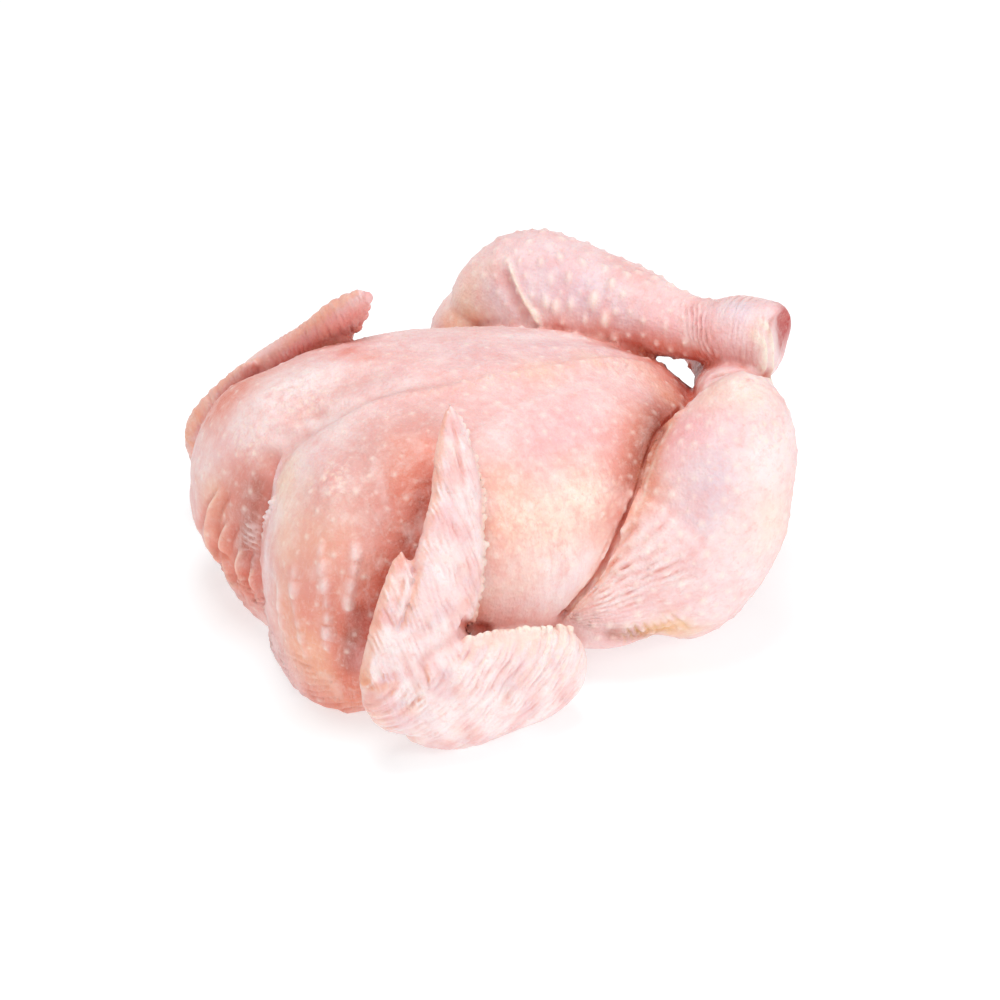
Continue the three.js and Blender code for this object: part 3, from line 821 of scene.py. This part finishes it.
# %% Spots
SPOTS = [  # tone, column and row of the picture, radius in millimetres, strength
    # the far side of the breast, from the keel to the far wing; its pale spots are painted highlights
    ("skin", 430, 350, 30, 0.6), ("skin", 380, 372, 12, 0.7), ("pale", 300, 392, 18, 0.95),
    ("blush", 262, 408, 12, 0.5), ("skin", 350, 395, 12, 0.5), ("skin", 290, 420, 10, 0.4),
    ("coral", 347, 351, 4, 0.8), ("salmon", 366, 357, 4, 0.6), ("lavender", 470, 352, 12, 0.35),
    ("blush", 430, 338, 10, 0.5), ("lavender", 395, 385, 8, 0.3), ("pale", 335, 422, 13, 0.8),
    ("pale", 300, 452, 12, 0.9),
    # the near side of the breast; the dusk spots and the salmon and coral ones beside the near wing and the
    # crease are painted shade, and the pale spots above the wing's arm are painted light over its shadow
    ("shade_dusk", 350, 485, 24, 0.6), ("shade_dusk", 385, 445, 16, 0.5), ("shade_dusk", 430, 432, 14, 0.6),
    ("lavender", 540, 342, 16, 0.5), ("lavender", 600, 350, 11, 0.4), ("lavender", 560, 455, 12, 0.4),
    ("cream", 540, 370, 7, 0.6), ("cream", 590, 358, 7, 0.6), ("cream", 640, 366, 7, 0.5),
    ("peach", 660, 385, 7, 0.5), ("pink", 570, 430, 14, 0.45), ("pink", 535, 470, 10, 0.4),
    ("pale", 492, 440, 7, 0.6), ("blush", 600, 410, 8, 0.5), ("salmon", 646, 428, 10, 0.85),
    ("coral", 660, 424, 4, 0.5), ("peach", 672, 398, 6, 0.7), ("pink", 625, 455, 8, 0.6),
    ("salmon", 640, 460, 6, 0.6), ("butter", 520, 515, 13, 0.7), ("butter", 585, 495, 12, 0.7),
    ("butter", 556, 540, 14, 0.7), ("coral", 616, 517, 7, 0.7), ("peach", 500, 482, 9, 0.45),
    ("peach", 506, 535, 9, 0.45), ("cream", 535, 560, 9, 0.5), ("salmon", 492, 525, 5, 0.4),
    ("salmon", 500, 566, 8, 0.45), ("peach", 488, 596, 6, 0.6), ("pale", 545, 588, 16, 0.9),
    ("pale", 510, 602, 11, 0.7), ("pale", 545, 606, 9, 0.8), ("peach", 600, 545, 5, 0.4),
    ("lavender", 575, 588, 7, 0.6), ("cream", 520, 592, 9, 0.6), ("pale", 590, 560, 6, 0.5),
    ("shade_dusk", 420, 440, 11, 0.6), ("salmon", 425, 454, 7, 0.45), ("salmon", 404, 476, 12, 0.9),
    ("coral", 420, 500, 8, 0.8), ("coral", 404, 536, 8, 0.8), ("coral", 388, 570, 8, 0.6),
    # the near lobe; its dusk spots and the dark spots beside the near wing are painted shade
    ("blush", 305, 460, 9, 0.6), ("shade_dusk", 355, 515, 16, 0.5), ("peach", 325, 545, 14, 0.6),
    ("cream", 285, 520, 12, 0.7), ("peach", 290, 555, 9, 0.5), ("shade_dusk", 300, 590, 12, 0.4),
    ("salmon", 365, 600, 8, 0.8), ("salmon", 305, 620, 20, 0.85), ("salmon", 340, 590, 12, 0.5),
    ("coral", 350, 640, 9, 0.8), ("shade_umber", 354, 645, 4, 0.5), ("lavender", 272, 572, 4, 0.5),
    ("peach", 283, 600, 7, 0.5), ("salmon", 345, 690, 12, 0.6), ("peach", 300, 645, 14, 0.8),
    ("peach", 325, 675, 11, 0.8), ("peach", 355, 695, 10, 0.6), ("peach", 320, 672, 8, 0.5),
    ("butter", 283, 480, 9, 0.9), ("pale", 274, 520, 6, 0.8), ("cream", 285, 545, 8, 0.5),
    # the far lobe; its dusk and coral spots are painted shade behind the near lobe's edge
    ("salmon", 235, 500, 18, 0.9), ("coral", 250, 474, 8, 0.6), ("salmon", 230, 570, 18, 0.95),
    ("peach", 222, 540, 10, 0.5), ("shade_dusk", 242, 500, 14, 0.7), ("coral", 244, 505, 10, 0.6),
    ("coral", 240, 545, 10, 0.6), ("coral", 246, 520, 9, 0.5), ("coral", 238, 577, 9, 0.5),
    ("peach", 210, 490, 9, 0.8), ("pale", 205, 450, 10, 0.9), ("blush", 225, 440, 9, 0.7),
    ("pale", 258, 425, 10, 0.6), ("peach", 207, 560, 6, 0.6),
    # the near thigh
    ("blush", 755, 400, 13, 0.8), ("pink", 712, 415, 13, 0.6), ("pink", 690, 440, 10, 0.6),
    ("peach", 655, 490, 7, 0.7), ("lavender", 722, 450, 12, 0.7), ("lavender", 730, 500, 10, 0.5),
    ("lavender", 690, 488, 11, 0.5), ("blue", 714, 478, 7, 0.45), ("blue", 702, 520, 8, 0.4),
    ("pale", 765, 470, 14, 0.85), ("butter", 772, 525, 12, 0.7), ("pale", 740, 570, 16, 0.8),
    ("butter", 706, 396, 8, 0.6), ("butter", 748, 388, 9, 0.6), ("pink", 688, 430, 9, 0.7),
    ("salmon", 652, 486, 5, 0.4), ("blush", 700, 590, 18, 0.7), ("blush", 640, 560, 10, 0.5),
    ("pale", 602, 592, 10, 0.95), ("pink", 622, 612, 6, 0.5), ("amber", 664, 630, 7, 0.6),
    ("amber", 692, 632, 6, 0.5), ("pale", 770, 440, 8, 0.5),
    # the far leg, from the knee to the hock
    ("blush", 545, 248, 11, 0.6), ("butter", 470, 302, 13, 0.9), ("butter", 462, 326, 8, 0.8),
    ("peach", 450, 322, 6, 0.6), ("skin", 465, 270, 8, 0.5), ("lavender", 495, 300, 8, 0.8),
    ("lavender", 510, 318, 6, 0.6), ("skin", 580, 272, 18, 0.4), ("lavender", 565, 288, 19, 0.8),
    ("blue", 592, 302, 11, 0.5), ("lavender", 622, 322, 12, 0.6), ("lavender", 535, 285, 7, 0.6),
    ("blush", 590, 258, 9, 0.5), ("salmon", 600, 336, 8, 0.8), ("lavender", 545, 264, 13, 0.5),
    ("pale", 500, 324, 10, 0.6), ("pale", 538, 324, 8, 0.6), ("salmon", 560, 325, 6, 0.5),
    ("salmon", 650, 347, 8, 0.7), ("pink", 665, 320, 7, 0.5), ("skin", 640, 282, 8, 0.5),
    ("coral", 710, 335, 4, 0.5), ("pink", 702, 320, 5, 0.5), ("blue", 738, 308, 6, 0.7),
    ("blush", 730, 335, 7, 0.5), ("amber", 756, 334, 2.6, 0.9), ("bone", 768, 335, 3.0, 0.6),
    ("pink", 730, 358, 8, 0.5), ("blush", 748, 356, 10, 0.8), ("pink", 784, 335, 4, 0.5),
    # the near wing
    ("blush", 455, 440, 6, 0.7), ("blush", 450, 500, 12, 0.8), ("pink", 442, 450, 2.5, 0.5),
    ("lavender", 448, 515, 4, 0.4), ("lavender", 440, 548, 4, 0.4), ("pale", 447, 570, 10, 0.7),
    ("pink", 468, 480, 3, 0.4), ("pink", 384, 592, 6, 0.4), ("pale", 395, 600, 7, 0.6),
    ("pink", 368, 622, 5, 0.5), ("salmon", 358, 650, 4, 0.6), ("pink", 362, 690, 5, 0.5),
    ("blue", 385, 668, 6, 0.6), ("blush", 420, 650, 9, 0.7), ("pale", 470, 680, 18, 0.9),
    ("pale", 410, 640, 10, 0.7), ("blush", 430, 720, 9, 0.6), ("lavender", 450, 698, 4, 0.5),
    ("lavender", 512, 695, 5, 0.4), ("pale", 555, 662, 14, 0.95), ("pink", 485, 640, 4, 0.5),
    # the far wing; the last two spots are painted shade on the near drumstick, glimpsed behind the thigh
    ("pink", 330, 325, 14, 0.7), ("pink", 300, 350, 10, 0.6), ("coral", 222, 396, 12, 0.6),
    ("salmon", 225, 396, 18, 0.8), ("coral", 212, 408, 10, 0.7), ("coral", 242, 382, 9, 0.7),
    ("peach", 318, 322, 12, 0.5), ("blush", 262, 362, 8, 0.5), ("salmon", 200, 425, 10, 0.9),
    ("pink", 335, 320, 4, 0.4), ("salmon", 692, 378, 5, 0.8), ("shade", 687, 385, 2.5, 0.5),
]
HIDDEN_SPOTS = [  # tone, place in millimetres, radius, strength
    ("cream", (104, 0, 26), 16, 0.7), ("red", (88, 0, 38), 7, 0.7), ("salmon", (84, 0, 44), 12, 0.5),
    ("salmon", (-98, 20, 20), 22, 0.5), ("blush", (60, 66, 70), 24, 0.6), ("lavender", (46, 74, 50), 16, 0.4),
    ("blush", (30, 80, 30), 18, 0.5), ("cream", (0, 72, 40), 22, 0.5), ("blush", (-45, 96, 24), 24, 0.6),
    ("pink", (95, 20, 60), 14, 0.5), ("pale", (66, -45, 60), 12, 0.3),
]
for name, place, radius, strength in HIDDEN_SPOTS:
    dab(name, np.array(place, float), radius, strength)
for name, column, row, radius, strength in SPOTS:
    dab(name, seen(column, row), radius, strength)
print(len(SPOTS) + len(HIDDEN_SPOTS), "spots")

# %% Painted lines
LINES = [  # tone, spots of the picture, width in millimetres, strength
    # mostly painted shade, in creases and grooves, beside the near wing, between the lobes and under the
    # legs;
    # the amber line under the thigh is the skin's own colour
    ("shade_dusk", ((668, 404), (646, 430), (634, 458), (624, 485), (612, 508)), 9, 0.7),
    ("salmon", ((660, 414), (638, 440), (626, 466), (616, 495)), 9, 0.6),
    ("shade_russet", ((676, 404), (656, 426), (644, 450), (635, 474), (624, 502)), 6.0, 0.9),
    ("shade_umber", ((680, 402), (662, 424), (651, 446), (642, 470), (634, 494)), 2.4, 0.7),
    ("coral", ((640, 505), (630, 522), (616, 548), (600, 574)), 3.0, 0.7),
    ("shade_umber", ((690, 392), (672, 417), (657, 432), (648, 452), (637, 485), (629, 508), (610, 550),
               (590, 582)), 1.0, 1.0),
    ("salmon", ((433, 425), (426, 455), (417, 485), (407, 515), (398, 545), (380, 570)), 7, 0.6),
    ("shade_russet", ((430, 468), (424, 492), (415, 515), (406, 540), (402, 555)), 2.4, 0.8),
    ("coral", ((370, 585), (356, 610), (347, 635), (345, 662), (350, 690), (360, 710)), 6, 0.8),
    ("shade_russet", ((366, 600), (355, 625), (350, 650), (351, 680)), 3.4, 0.95),
    ("shade_dusk", ((258, 462), (252, 490), (247, 520), (245, 550), (252, 585)), 8, 0.8),
    ("shade_russet", ((262, 470), (255, 500), (249, 535), (251, 572)), 4.6, 0.8),
    ("shade_umber", ((600, 344), (625, 350), (648, 354), (668, 356)), 2.4, 0.7),
    ("shade_umber", ((600, 632), (620, 632), (645, 633), (670, 634)), 3.4, 0.85),
    ("amber", ((640, 626), (665, 628), (695, 626)), 4, 0.6),
    ("coral", ((704, 360), (700, 370), (697, 384)), 5, 0.8),
    ("coral", ((612, 556), (600, 572), (585, 590), (562, 614)), 1.0, 0.9),
    ("salmon", ((300, 690), (330, 706), (362, 718)), 8, 0.7),
    ("shade_dusk", ((275, 425), (315, 402), (360, 384), (410, 370)), 7, 0.35),
    ("lavender", ((404, 600), (400, 615), (394, 632)), 3, 0.6),
    ("shade_dusk", ((413, 562), (414, 580), (412, 598), (407, 613), (400, 628)), 1.8, 0.6),
    ("pink", ((362, 640), (361, 662), (366, 684)), 4, 0.5),
    ("salmon", ((391, 606), (396, 586), (402, 562), (409, 540)), 1.6, 0.8),
    # painted highlights on the tops of muscles and rims, partly over the skin's own pale fat, and painted
    # light over the shadow above the near wing
    ("pale", ((606, 562), (589, 586), (571, 605), (556, 619)), 2.4, 0.6),
    ("blush", ((490, 608), (520, 606), (552, 606)), 6, 0.6),
    ("pale", ((285, 452), (320, 425), (360, 402), (405, 384), (450, 372)), 4, 0.5),
    ("pale", ((225, 440), (250, 410), (285, 388), (330, 368)), 7, 0.6),
    ("pale", ((470, 345), (520, 337), (570, 337), (610, 343)), 5, 0.6),
    ("pale", ((500, 432), (520, 408), (556, 393), (596, 385)), 2.6, 0.4),
    ("pale", ((722, 380), (750, 376), (775, 386), (790, 420), (794, 470)), 5, 0.6),
]
for name, spots, width, strength in LINES:
    paint(name, strength * beside(seen_line(*spots), width, 0.2))
print(len(LINES), "painted lines")

# %% Paint that follows the sculpt
LOBE_RIM = [(280, 455), (275, 480), (270, 515), (266, 555), (268, 595)]
LIP_EDGE = [(686, 405), (672, 424), (663, 440), (656, 459), (648, 482), (638, 509), (619, 545), (601, 573),
            (580, 600), (562, 618)]
THUMB_CORD = [(406, 557), (408, 573), (406, 591), (402, 607), (396, 623)]
ELBOW_SHADE = [(464, 624), (472, 628), (484, 630), (491, 629)]
lip_edge = seen_line(*LIP_EDGE)
paint("blush", 0.9 * beside(seen_line(*LOBE_RIM), 2.4, 0.1))
paint("peach", 0.6 * lip_crest)
paint("peach", 0.7 * beside(lip_edge, 3.6, 0.1))
paint("bone", 0.9 * beside(lip_edge, 1.0, 0.1))
paint("bone", 0.9 * strip_crest)
paint("cream", 0.7 * keel_scales)
paint("pale", 0.9 * np.clip(frills + strands, 0, 1))
paint("cream", 0.75 * rib_tops**2)
paint("pale", 0.6 * lobe_drops)
paint("amber", 0.4 * tuft_drops)
paint("coral", 0.8 * fan_low)
streaks = np.sin(fan_angle * 75 + 2.5 * waves(skin_at, 12, 6))
paint("pale", 0.55 * fan * np.clip(streaks, 0, 1))
paint("salmon", 0.3 * fan * np.clip(-streaks, 0, 1))
paint("pale", 0.9 * fan_high)
paint("amber", 0.8 * foot_low)
paint("pink", 0.35 * wing_low)
wings = hand + arm
# Painted shade in the dip beside the thumb.
paint("lavender", 0.4 * beside_thumb)
paint("pale", 0.8 * wings * step(-0.4, 0.3, waves(skin_at, 14, 61)) * (skin_at[:, 1] < 0))
paint("lavender", 0.3 * wings * step(0.15, 0.6, waves(skin_at, 11, 62)))
paint("peach", 0.2 * wings * step(0.3, 0.8, waves(skin_at, 9, 63)))
paint("butter", 0.5 * trailing * (skin_at[:, 1] < 0))
leading = hand * step(0.55, 0.85, -outward @ BLADE) + 0.6 * arm * step(0.4, 0.8, -outward[:, 0])
paint("peach", 0.65 * leading)
paint("pale", 0.9 * beside(seen_line(*THUMB_CORD), 1.1))
paint("bone", 0.7 * frill * (skin_at[:, 1] < 0))
paint("shade", 0.85 * beside(seen_line(*ELBOW_SHADE), 2.0, ends=0.1))
for face, pit, tendons, rim in (hock_cut, hidden_cut):
    paint("blush", 0.9 * face)
    paint("bone", tendons)
    paint("pink", 0.6 * rim)
    paint("red", 2.4 * pit - 0.4)

# %% Painted shade: deeper colour where it is sheltered
# Painted shade: sheltered skin goes deeper and redder. Wings and calf hardly do, nor do three places
# where light bounces in.
BRIGHT_NOOKS = ((535, 596, 32), (505, 322, 16), (540, 322, 14))  # column, row, radius in millimetres
painted_shade_share = 1 - 0.8 * np.clip(hand + arm + 0.7 * calf, 0, 1)
for column, row, radius in BRIGHT_NOOKS:
    painted_shade_share *= 1 - 0.85 * near_spot(column, row, radius)
tone *= np.exp(-1.5 * (painted_shade_share * np.maximum(0, sheltered - 0.15))[:, None] * (0.3, 0.8, 1.0))
print("mean tone", tone.mean(0).round(3))

# %% Where the skin is fatty and where it is wrinkled
FATTY = [  # column and row of the picture, radius in millimetres
    (520, 520, 15), (590, 500, 13), (555, 540, 12), (620, 365, 8), (770, 430, 10), (300, 400, 10),
    (250, 440, 8), (330, 480, 8), (560, 660, 12), (745, 385, 8),
]
fatty = np.max([near_spot(*spot) for spot in FATTY], axis=0)
wrinkled = np.clip(0.2 + 0.4 * (hand + arm) + 0.5 * (hock + hidden_hock) + chin + 0.5 * on_web, 0, 1)

# %% Attributes for the material
attribute("tone", "FLOAT_COLOR", np.c_[np.clip(tone, 0, 1), np.ones(len(tone))])
attribute("crest", "FLOAT", np.clip(crests, 0, 1.5))
# Painted shade of folds and creases, which the material turns dark red.
attribute("hollow", "FLOAT", np.clip(painted_fold_shade, 0, 1.3))
attribute("fatty", "FLOAT", fatty)
LONG = 0.2  # how little the grain changes along its fibres
grain = skin_at * (1, 1, 0.35)
for weight, across, lengthways in (
    (calf, down_leg * 95.0, skin_at[:, 2]),
    (on_web * step(1.6, 1.0, np.abs(fan_angle)), fan_angle * 21, far_from_point),
    (arm, slant, skin_at @ (0.78, 0.3, 0.62)),
    (hand, hand_across, skin_at[:, 2]),
):
    weight = np.clip(weight, 0, 1)[:, None]
    fibres = np.c_[across, LONG * lengthways, LONG * skin_at[:, 1]]
    grain = grain * (1 - weight) + fibres * weight
attribute("grain", "FLOAT_VECTOR", grain * MM)
# Where the grain of two limbs meets it changes too fast, which would draw a hard line across the skin, so
# wrinkles and streaks fade out there.
change = np.linalg.norm(grain[one_end] - grain[other_end], axis=1)
change /= np.maximum(np.linalg.norm(skin_at[one_end] - skin_at[other_end], axis=1), 0.05)
calm = step(2.5, 1.4, smoothed(np.bincount(one_end, change, len(skin_at)) / neighbours, 4))
attribute("wrinkled", "FLOAT", wrinkled * calm)
attribute("streaky", "FLOAT", calm * np.clip(0.22 + 0.25 * fatty + 0.2 * fan - 0.1 * (arm + hand), 0, 0.8))
print("calm share", calm.mean().round(3))

# %% [markdown]
# ## Fewer triangles where nothing happens
#
# The sculpt needed small squares everywhere, and the finished skin needs them only at its folds and bumps. A
# Decimate modifier merges the flat ones first, because that costs the least shape.

# %% Thinning the skin
MOST_TRIANGLES = 196_000
thin = bird.modifiers.new("thin", "DECIMATE")
thin.ratio = min(1.0, MOST_TRIANGLES / sum(len(p.vertices) - 2 for p in skin_mesh.polygons))
bpy.context.view_layer.update()
graph = bpy.context.evaluated_depsgraph_get()
thinned = bird.evaluated_get(graph)
finished = bpy.data.meshes.new_from_object(thinned, preserve_all_data_layers=True, depsgraph=graph)
bird.modifiers.clear()
bird.data = finished
bird.data.shade_smooth()
print("triangles", sum(len(p.vertices) - 2 for p in finished.polygons), [a.name for a in finished.attributes])

# %% [markdown]
# ## Shared effects
#
# Mottling and a pattern of follicles come up several times in the skin's material, and fine creases would
# come up again on any other meat. Copied nodes would soon differ, so each effect is a node group with named
# inputs, made once and placed wherever it is needed with other values.

# %% A small help for node groups
def new_group(name, inputs, outputs):
    """An empty shader node group with named sockets. Returns it with its input and output nodes."""
    group = bpy.data.node_groups.new(name, "ShaderNodeTree")
    for title, kind, value in inputs:
        socket = group.interface.new_socket(title, in_out="INPUT", socket_type=kind)
        if value is not None:
            socket.default_value = value
    for title, kind in outputs:
        group.interface.new_socket(title, in_out="OUTPUT", socket_type=kind)
    return group, group.nodes.new("NodeGroupInput"), group.nodes.new("NodeGroupOutput")


def feed(tree, socket, value):
    """Links a node's input to another socket, or gives it a number or a colour."""
    if isinstance(value, bpy.types.NodeSocket):
        tree.links.new(value, socket)
    elif isinstance(value, tuple):
        socket.default_value = (*value, 1.0)
    elif value is not None:
        socket.default_value = value


def node_of(tree, kind, **values):
    """A node of one kind, with the inputs of these names fed. An underscore stands for a space."""
    node = tree.nodes.new("ShaderNode" + kind)
    for title, value in values.items():
        feed(tree, node.inputs[title.replace("_", " ")], value)
    return node


def maths(tree, operation, a, b=None, clamp=False):
    """A Math node on sockets or numbers."""
    node = node_of(tree, "Math")
    node.operation, node.use_clamp = operation, clamp
    for socket, value in zip(node.inputs, (a, b)):
        feed(tree, socket, value)
    return node.outputs[0]


def noise(tree, at, scale, detail=3.0, roughness=0.5, distortion=0.0, output="Fac"):
    """A Noise Texture node read at a vector."""
    return node_of(tree, "TexNoise", Vector=at, Scale=scale, Detail=detail, Roughness=roughness,
                   Distortion=distortion).outputs[output]


def spread(tree, value, low, high, to_low=0.0, to_high=1.0):
    """A Map Range node, clamped."""
    return node_of(tree, "MapRange", Value=value, From_Min=low, From_Max=high, To_Min=to_low,
                   To_Max=to_high).outputs["Result"]


def blend_colour(tree, share, a, b):
    """A colour Mix node. Each of share, a and b is a socket or a value."""
    node = node_of(tree, "Mix")
    node.data_type = "RGBA"
    for socket, value in ((node.inputs["Factor"], share), (node.inputs[6], a), (node.inputs[7], b)):
        feed(tree, socket, value)
    return node.outputs[2]


# %% The mottling group
mottling, given, made = new_group(
    "mottling",
    [("Place", "NodeSocketVector", None), ("Colour", "NodeSocketColor", None),
     ("Light", "NodeSocketColor", None), ("Dark", "NodeSocketColor", None),
     ("Scale", "NodeSocketFloat", 120.0), ("Amount", "NodeSocketFloat", 0.5)],
    [("Colour", "NodeSocketColor")],
)
broad = noise(mottling, given.outputs["Place"], given.outputs["Scale"], 4, 0.6, 0.4)
fine_scale = maths(mottling, "MULTIPLY", given.outputs["Scale"], 5.3)
fine = noise(mottling, given.outputs["Place"], fine_scale, 4, 0.65, 0.3)
colour = given.outputs["Colour"]
for pattern, low, high, tint in ((broad, 0.5, 0.72, "Light"), (broad, 0.5, 0.3, "Dark"),
                                 (fine, 0.56, 0.8, "Light"), (fine, 0.46, 0.3, "Dark")):
    share = maths(mottling, "MULTIPLY", spread(mottling, pattern, low, high), given.outputs["Amount"])
    colour = blend_colour(mottling, share, colour, given.outputs[tint])
mottling.links.new(colour, made.inputs["Colour"])

# %% The creases group
creases, given, made = new_group(
    "fine_creases",
    [("Grain", "NodeSocketVector", None), ("Scale", "NodeSocketFloat", 500.0)],
    [("Height", "NodeSocketFloat")],
)
one = noise(creases, given.outputs["Grain"], given.outputs["Scale"], 3, 0.55, 0.6)
half_scale = maths(creases, "MULTIPLY", given.outputs["Scale"], 0.45)
two = noise(creases, given.outputs["Grain"], half_scale, 3, 0.55, 1.0)
ridge = maths(creases, "ABSOLUTE", maths(creases, "SUBTRACT", two, 0.5))
ridge = maths(creases, "SUBTRACT", 1.0, maths(creases, "MULTIPLY", ridge, 5.0, clamp=True))
height = maths(creases, "ADD", maths(creases, "MULTIPLY", one, 0.7), maths(creases, "MULTIPLY", ridge, -0.25))
creases.links.new(height, made.inputs["Height"])

# %% The follicles group
follicles, given, made = new_group(
    "follicles",
    [("Place", "NodeSocketVector", None), ("Scale", "NodeSocketFloat", 260.0)],
    [("Dots", "NodeSocketFloat"), ("Cells", "NodeSocketFloat")],
)
cells = node_of(follicles, "TexVoronoi", Vector=given.outputs["Place"], Scale=given.outputs["Scale"])
follicles.links.new(spread(follicles, cells.outputs["Distance"], 0.3, 0.08), made.inputs["Dots"])
follicles.links.new(cells.outputs["Distance"], made.inputs["Cells"])
print("groups", [g.name for g in bpy.data.node_groups])

# %% [markdown]
# ## The skin's material
#
# Skin lets light in a little way and out again, which softens its shadows and reddens its edges, so the
# shader has some subsurface. It is wet, so it has a thin clear coat. The tone attribute gives the colour, the
# groups break it up, crests go pale and the painted shade of folds goes dark red. A painted picture could
# hold all of this, but it would need seams and has only one fineness.

# %% The skin's material
def new_material(name):
    """A material with an empty node tree, its shader and its object coordinates."""
    material = bpy.data.materials.new(name)
    material.use_nodes = True
    tree = material.node_tree
    tree.nodes.clear()
    shader = tree.nodes.new("ShaderNodeBsdfPrincipled")
    output = tree.nodes.new("ShaderNodeOutputMaterial")
    tree.links.new(shader.outputs["BSDF"], output.inputs["Surface"])
    place = tree.nodes.new("ShaderNodeTexCoord").outputs["Object"]
    return material, tree, shader, place


def placed(tree, group, **values):
    """A node of a shared group, with its inputs linked or set."""
    node = node_of(tree, "Group")
    node.node_tree = group
    for title, value in values.items():
        feed(tree, node.inputs[title], value)
    return node


def read(tree, name, output="Fac"):
    """An Attribute node that reads what the sculpt stored."""
    node = node_of(tree, "Attribute")
    node.attribute_name = name
    return node.outputs[output]


def dial(shader, values):
    """Sets a shader's inputs by their names."""
    for title, value in values.items():
        shader.inputs[title].default_value = value


# %% The skin's colour
raw_skin, tree, shader, place = new_material("raw_skin")
grain, fatty = read(tree, "grain", "Vector"), read(tree, "fatty")
colour = placed(tree, mottling, Place=place, Colour=read(tree, "tone", "Color"), Light=(0.97, 0.84, 0.80),
                Dark=(0.82, 0.34, 0.29), Scale=95.0, Amount=0.3).outputs["Colour"]
colour = placed(tree, mottling, Place=grain, Colour=colour, Light=(0.98, 0.84, 0.80),
                Dark=(0.82, 0.34, 0.31), Scale=290.0, Amount=read(tree, "streaky")).outputs["Colour"]
WANDER = 0.0035  # how far the cells of fat stray from an even pattern
shaken = node_of(tree, "VectorMath")
shaken.operation = "MULTIPLY_ADD"
shaken.inputs[1].default_value = (WANDER, WANDER, WANDER)
feed(tree, shaken.inputs[0], noise(tree, place, 210.0, 2.0, output="Color"))
feed(tree, shaken.inputs[2], place)
fat_cells = placed(tree, follicles, Place=shaken.outputs[0], Scale=380.0).outputs["Cells"]
fat_share = maths(tree, "MULTIPLY", spread(tree, fat_cells, 0.5, 0.15), fatty)
dots = placed(tree, follicles, Place=place, Scale=130.0).outputs["Dots"]
for mask, share, tint in (
    (fat_share, 0.5, (0.96, 0.77, 0.63)),
    (dots, 0.08, (0.97, 0.84, 0.78)),
    (read(tree, "crest"), 0.6, (0.96, 0.80, 0.72)),
    # painted shade: folds and creases go dark red
    (read(tree, "hollow"), 0.75, (0.60, 0.12, 0.07)),
):
    colour = blend_colour(tree, maths(tree, "MULTIPLY", mask, share, clamp=True), colour, tint)
feed(tree, shader.inputs["Base Color"], colour)

# %% The skin's relief and gloss
folds = placed(tree, creases, Grain=grain, Scale=480.0).outputs["Height"]
pores = placed(tree, follicles, Place=place, Scale=900.0).outputs["Cells"]
normal = None
for height, distance, strength in (
    (noise(tree, place, 260.0, 3, 0.5, 0.2), 0.001, 0.5),
    (folds, 0.0012, maths(tree, "MULTIPLY", read(tree, "wrinkled"), 0.9)),
    (fat_cells, 0.0009, maths(tree, "MULTIPLY", fatty, 0.5)),
    (pores, 0.0003, 0.5),
):
    normal = node_of(tree, "Bump", Height=height, Distance=distance, Strength=strength,
                     Normal=normal).outputs["Normal"]
feed(tree, shader.inputs["Normal"], normal)
feed(tree, shader.inputs["Roughness"], spread(tree, noise(tree, place, 300.0, 3, 0.6), 0.3, 0.7, 0.36, 0.56))
dial(shader, {"Subsurface Weight": 0.2, "Subsurface Radius": (1.0, 0.4, 0.25), "Subsurface Scale": 0.0012,
              "Specular IOR Level": 0.22, "Coat Weight": 0.16, "Coat Roughness": 0.22})
bird.data.materials.clear()
bird.data.materials.append(raw_skin)
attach(bird, "root")
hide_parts("whole_raw_chicken")
print("nodes in the skin's material", len(raw_skin.node_tree.nodes))

# %% [markdown]
# ## Floor and light
#
# A pale floor that glows a little, a white sky all round and three large soft lamps give the even light of a
# product picture: the floor goes white and only a soft shadow stays under the bird. A single lamp would be
# simpler, but its shadow would be hard and one side of the bird grey.

# %% The floor
FLOOR_HALF = 3.0
floor_mesh = bpy.data.meshes.new("floor")
floor_mesh.from_pydata([(-FLOOR_HALF, -FLOOR_HALF, 0), (FLOOR_HALF, -FLOOR_HALF, 0),
                        (FLOOR_HALF, FLOOR_HALF, 0), (-FLOOR_HALF, FLOOR_HALF, 0)], [], [(0, 1, 2, 3)])
floor = bpy.data.objects.new("floor", floor_mesh)
bpy.context.scene.collection.objects.link(floor)
white, tree, shader, place = new_material("white_floor")
dial(shader, {"Base Color": (0.57, 0.61, 0.62, 1.0), "Roughness": 0.7, "Specular IOR Level": 0.2,
              "Emission Color": (1.0, 1.0, 1.0, 1.0), "Emission Strength": 0.50})
floor.data.materials.append(white)
print("floor", 2 * FLOOR_HALF, "m a side")

# %% The lights
LIT_POINT = Vector((0, 0, 0.05))  # in the middle of the bird


def soft_lamp(name, place, side, watts):
    """A square lamp that faces the bird."""
    lamp = bpy.data.objects.new(name, bpy.data.lights.new(name, "AREA"))
    lamp.data.size, lamp.data.energy = side, watts
    lamp.location = place
    lamp.rotation_euler = (Vector(place) - LIT_POINT).to_track_quat("Z", "Y").to_euler()
    bpy.context.scene.collection.objects.link(lamp)
    print("lamp", name, watts, "W")


soft_lamp("overhead", (-0.06, 0.15, 1.2), 0.6, 6.6)
soft_lamp("to_the_right", (0.75, -0.85, 0.6), 0.6, 4.1)
soft_lamp("in_front", (-0.7, -1.1, 0.5), 0.9, 3.9)
world = bpy.data.worlds.new("bright_room")
bpy.context.scene.world = world
world.use_nodes = True
world.node_tree.nodes["Background"].inputs["Color"].default_value = (1.0, 1.0, 1.0, 1.0)
world.node_tree.nodes["Background"].inputs["Strength"].default_value = 0.52
bpy.context.scene.view_settings.view_transform = "Standard"
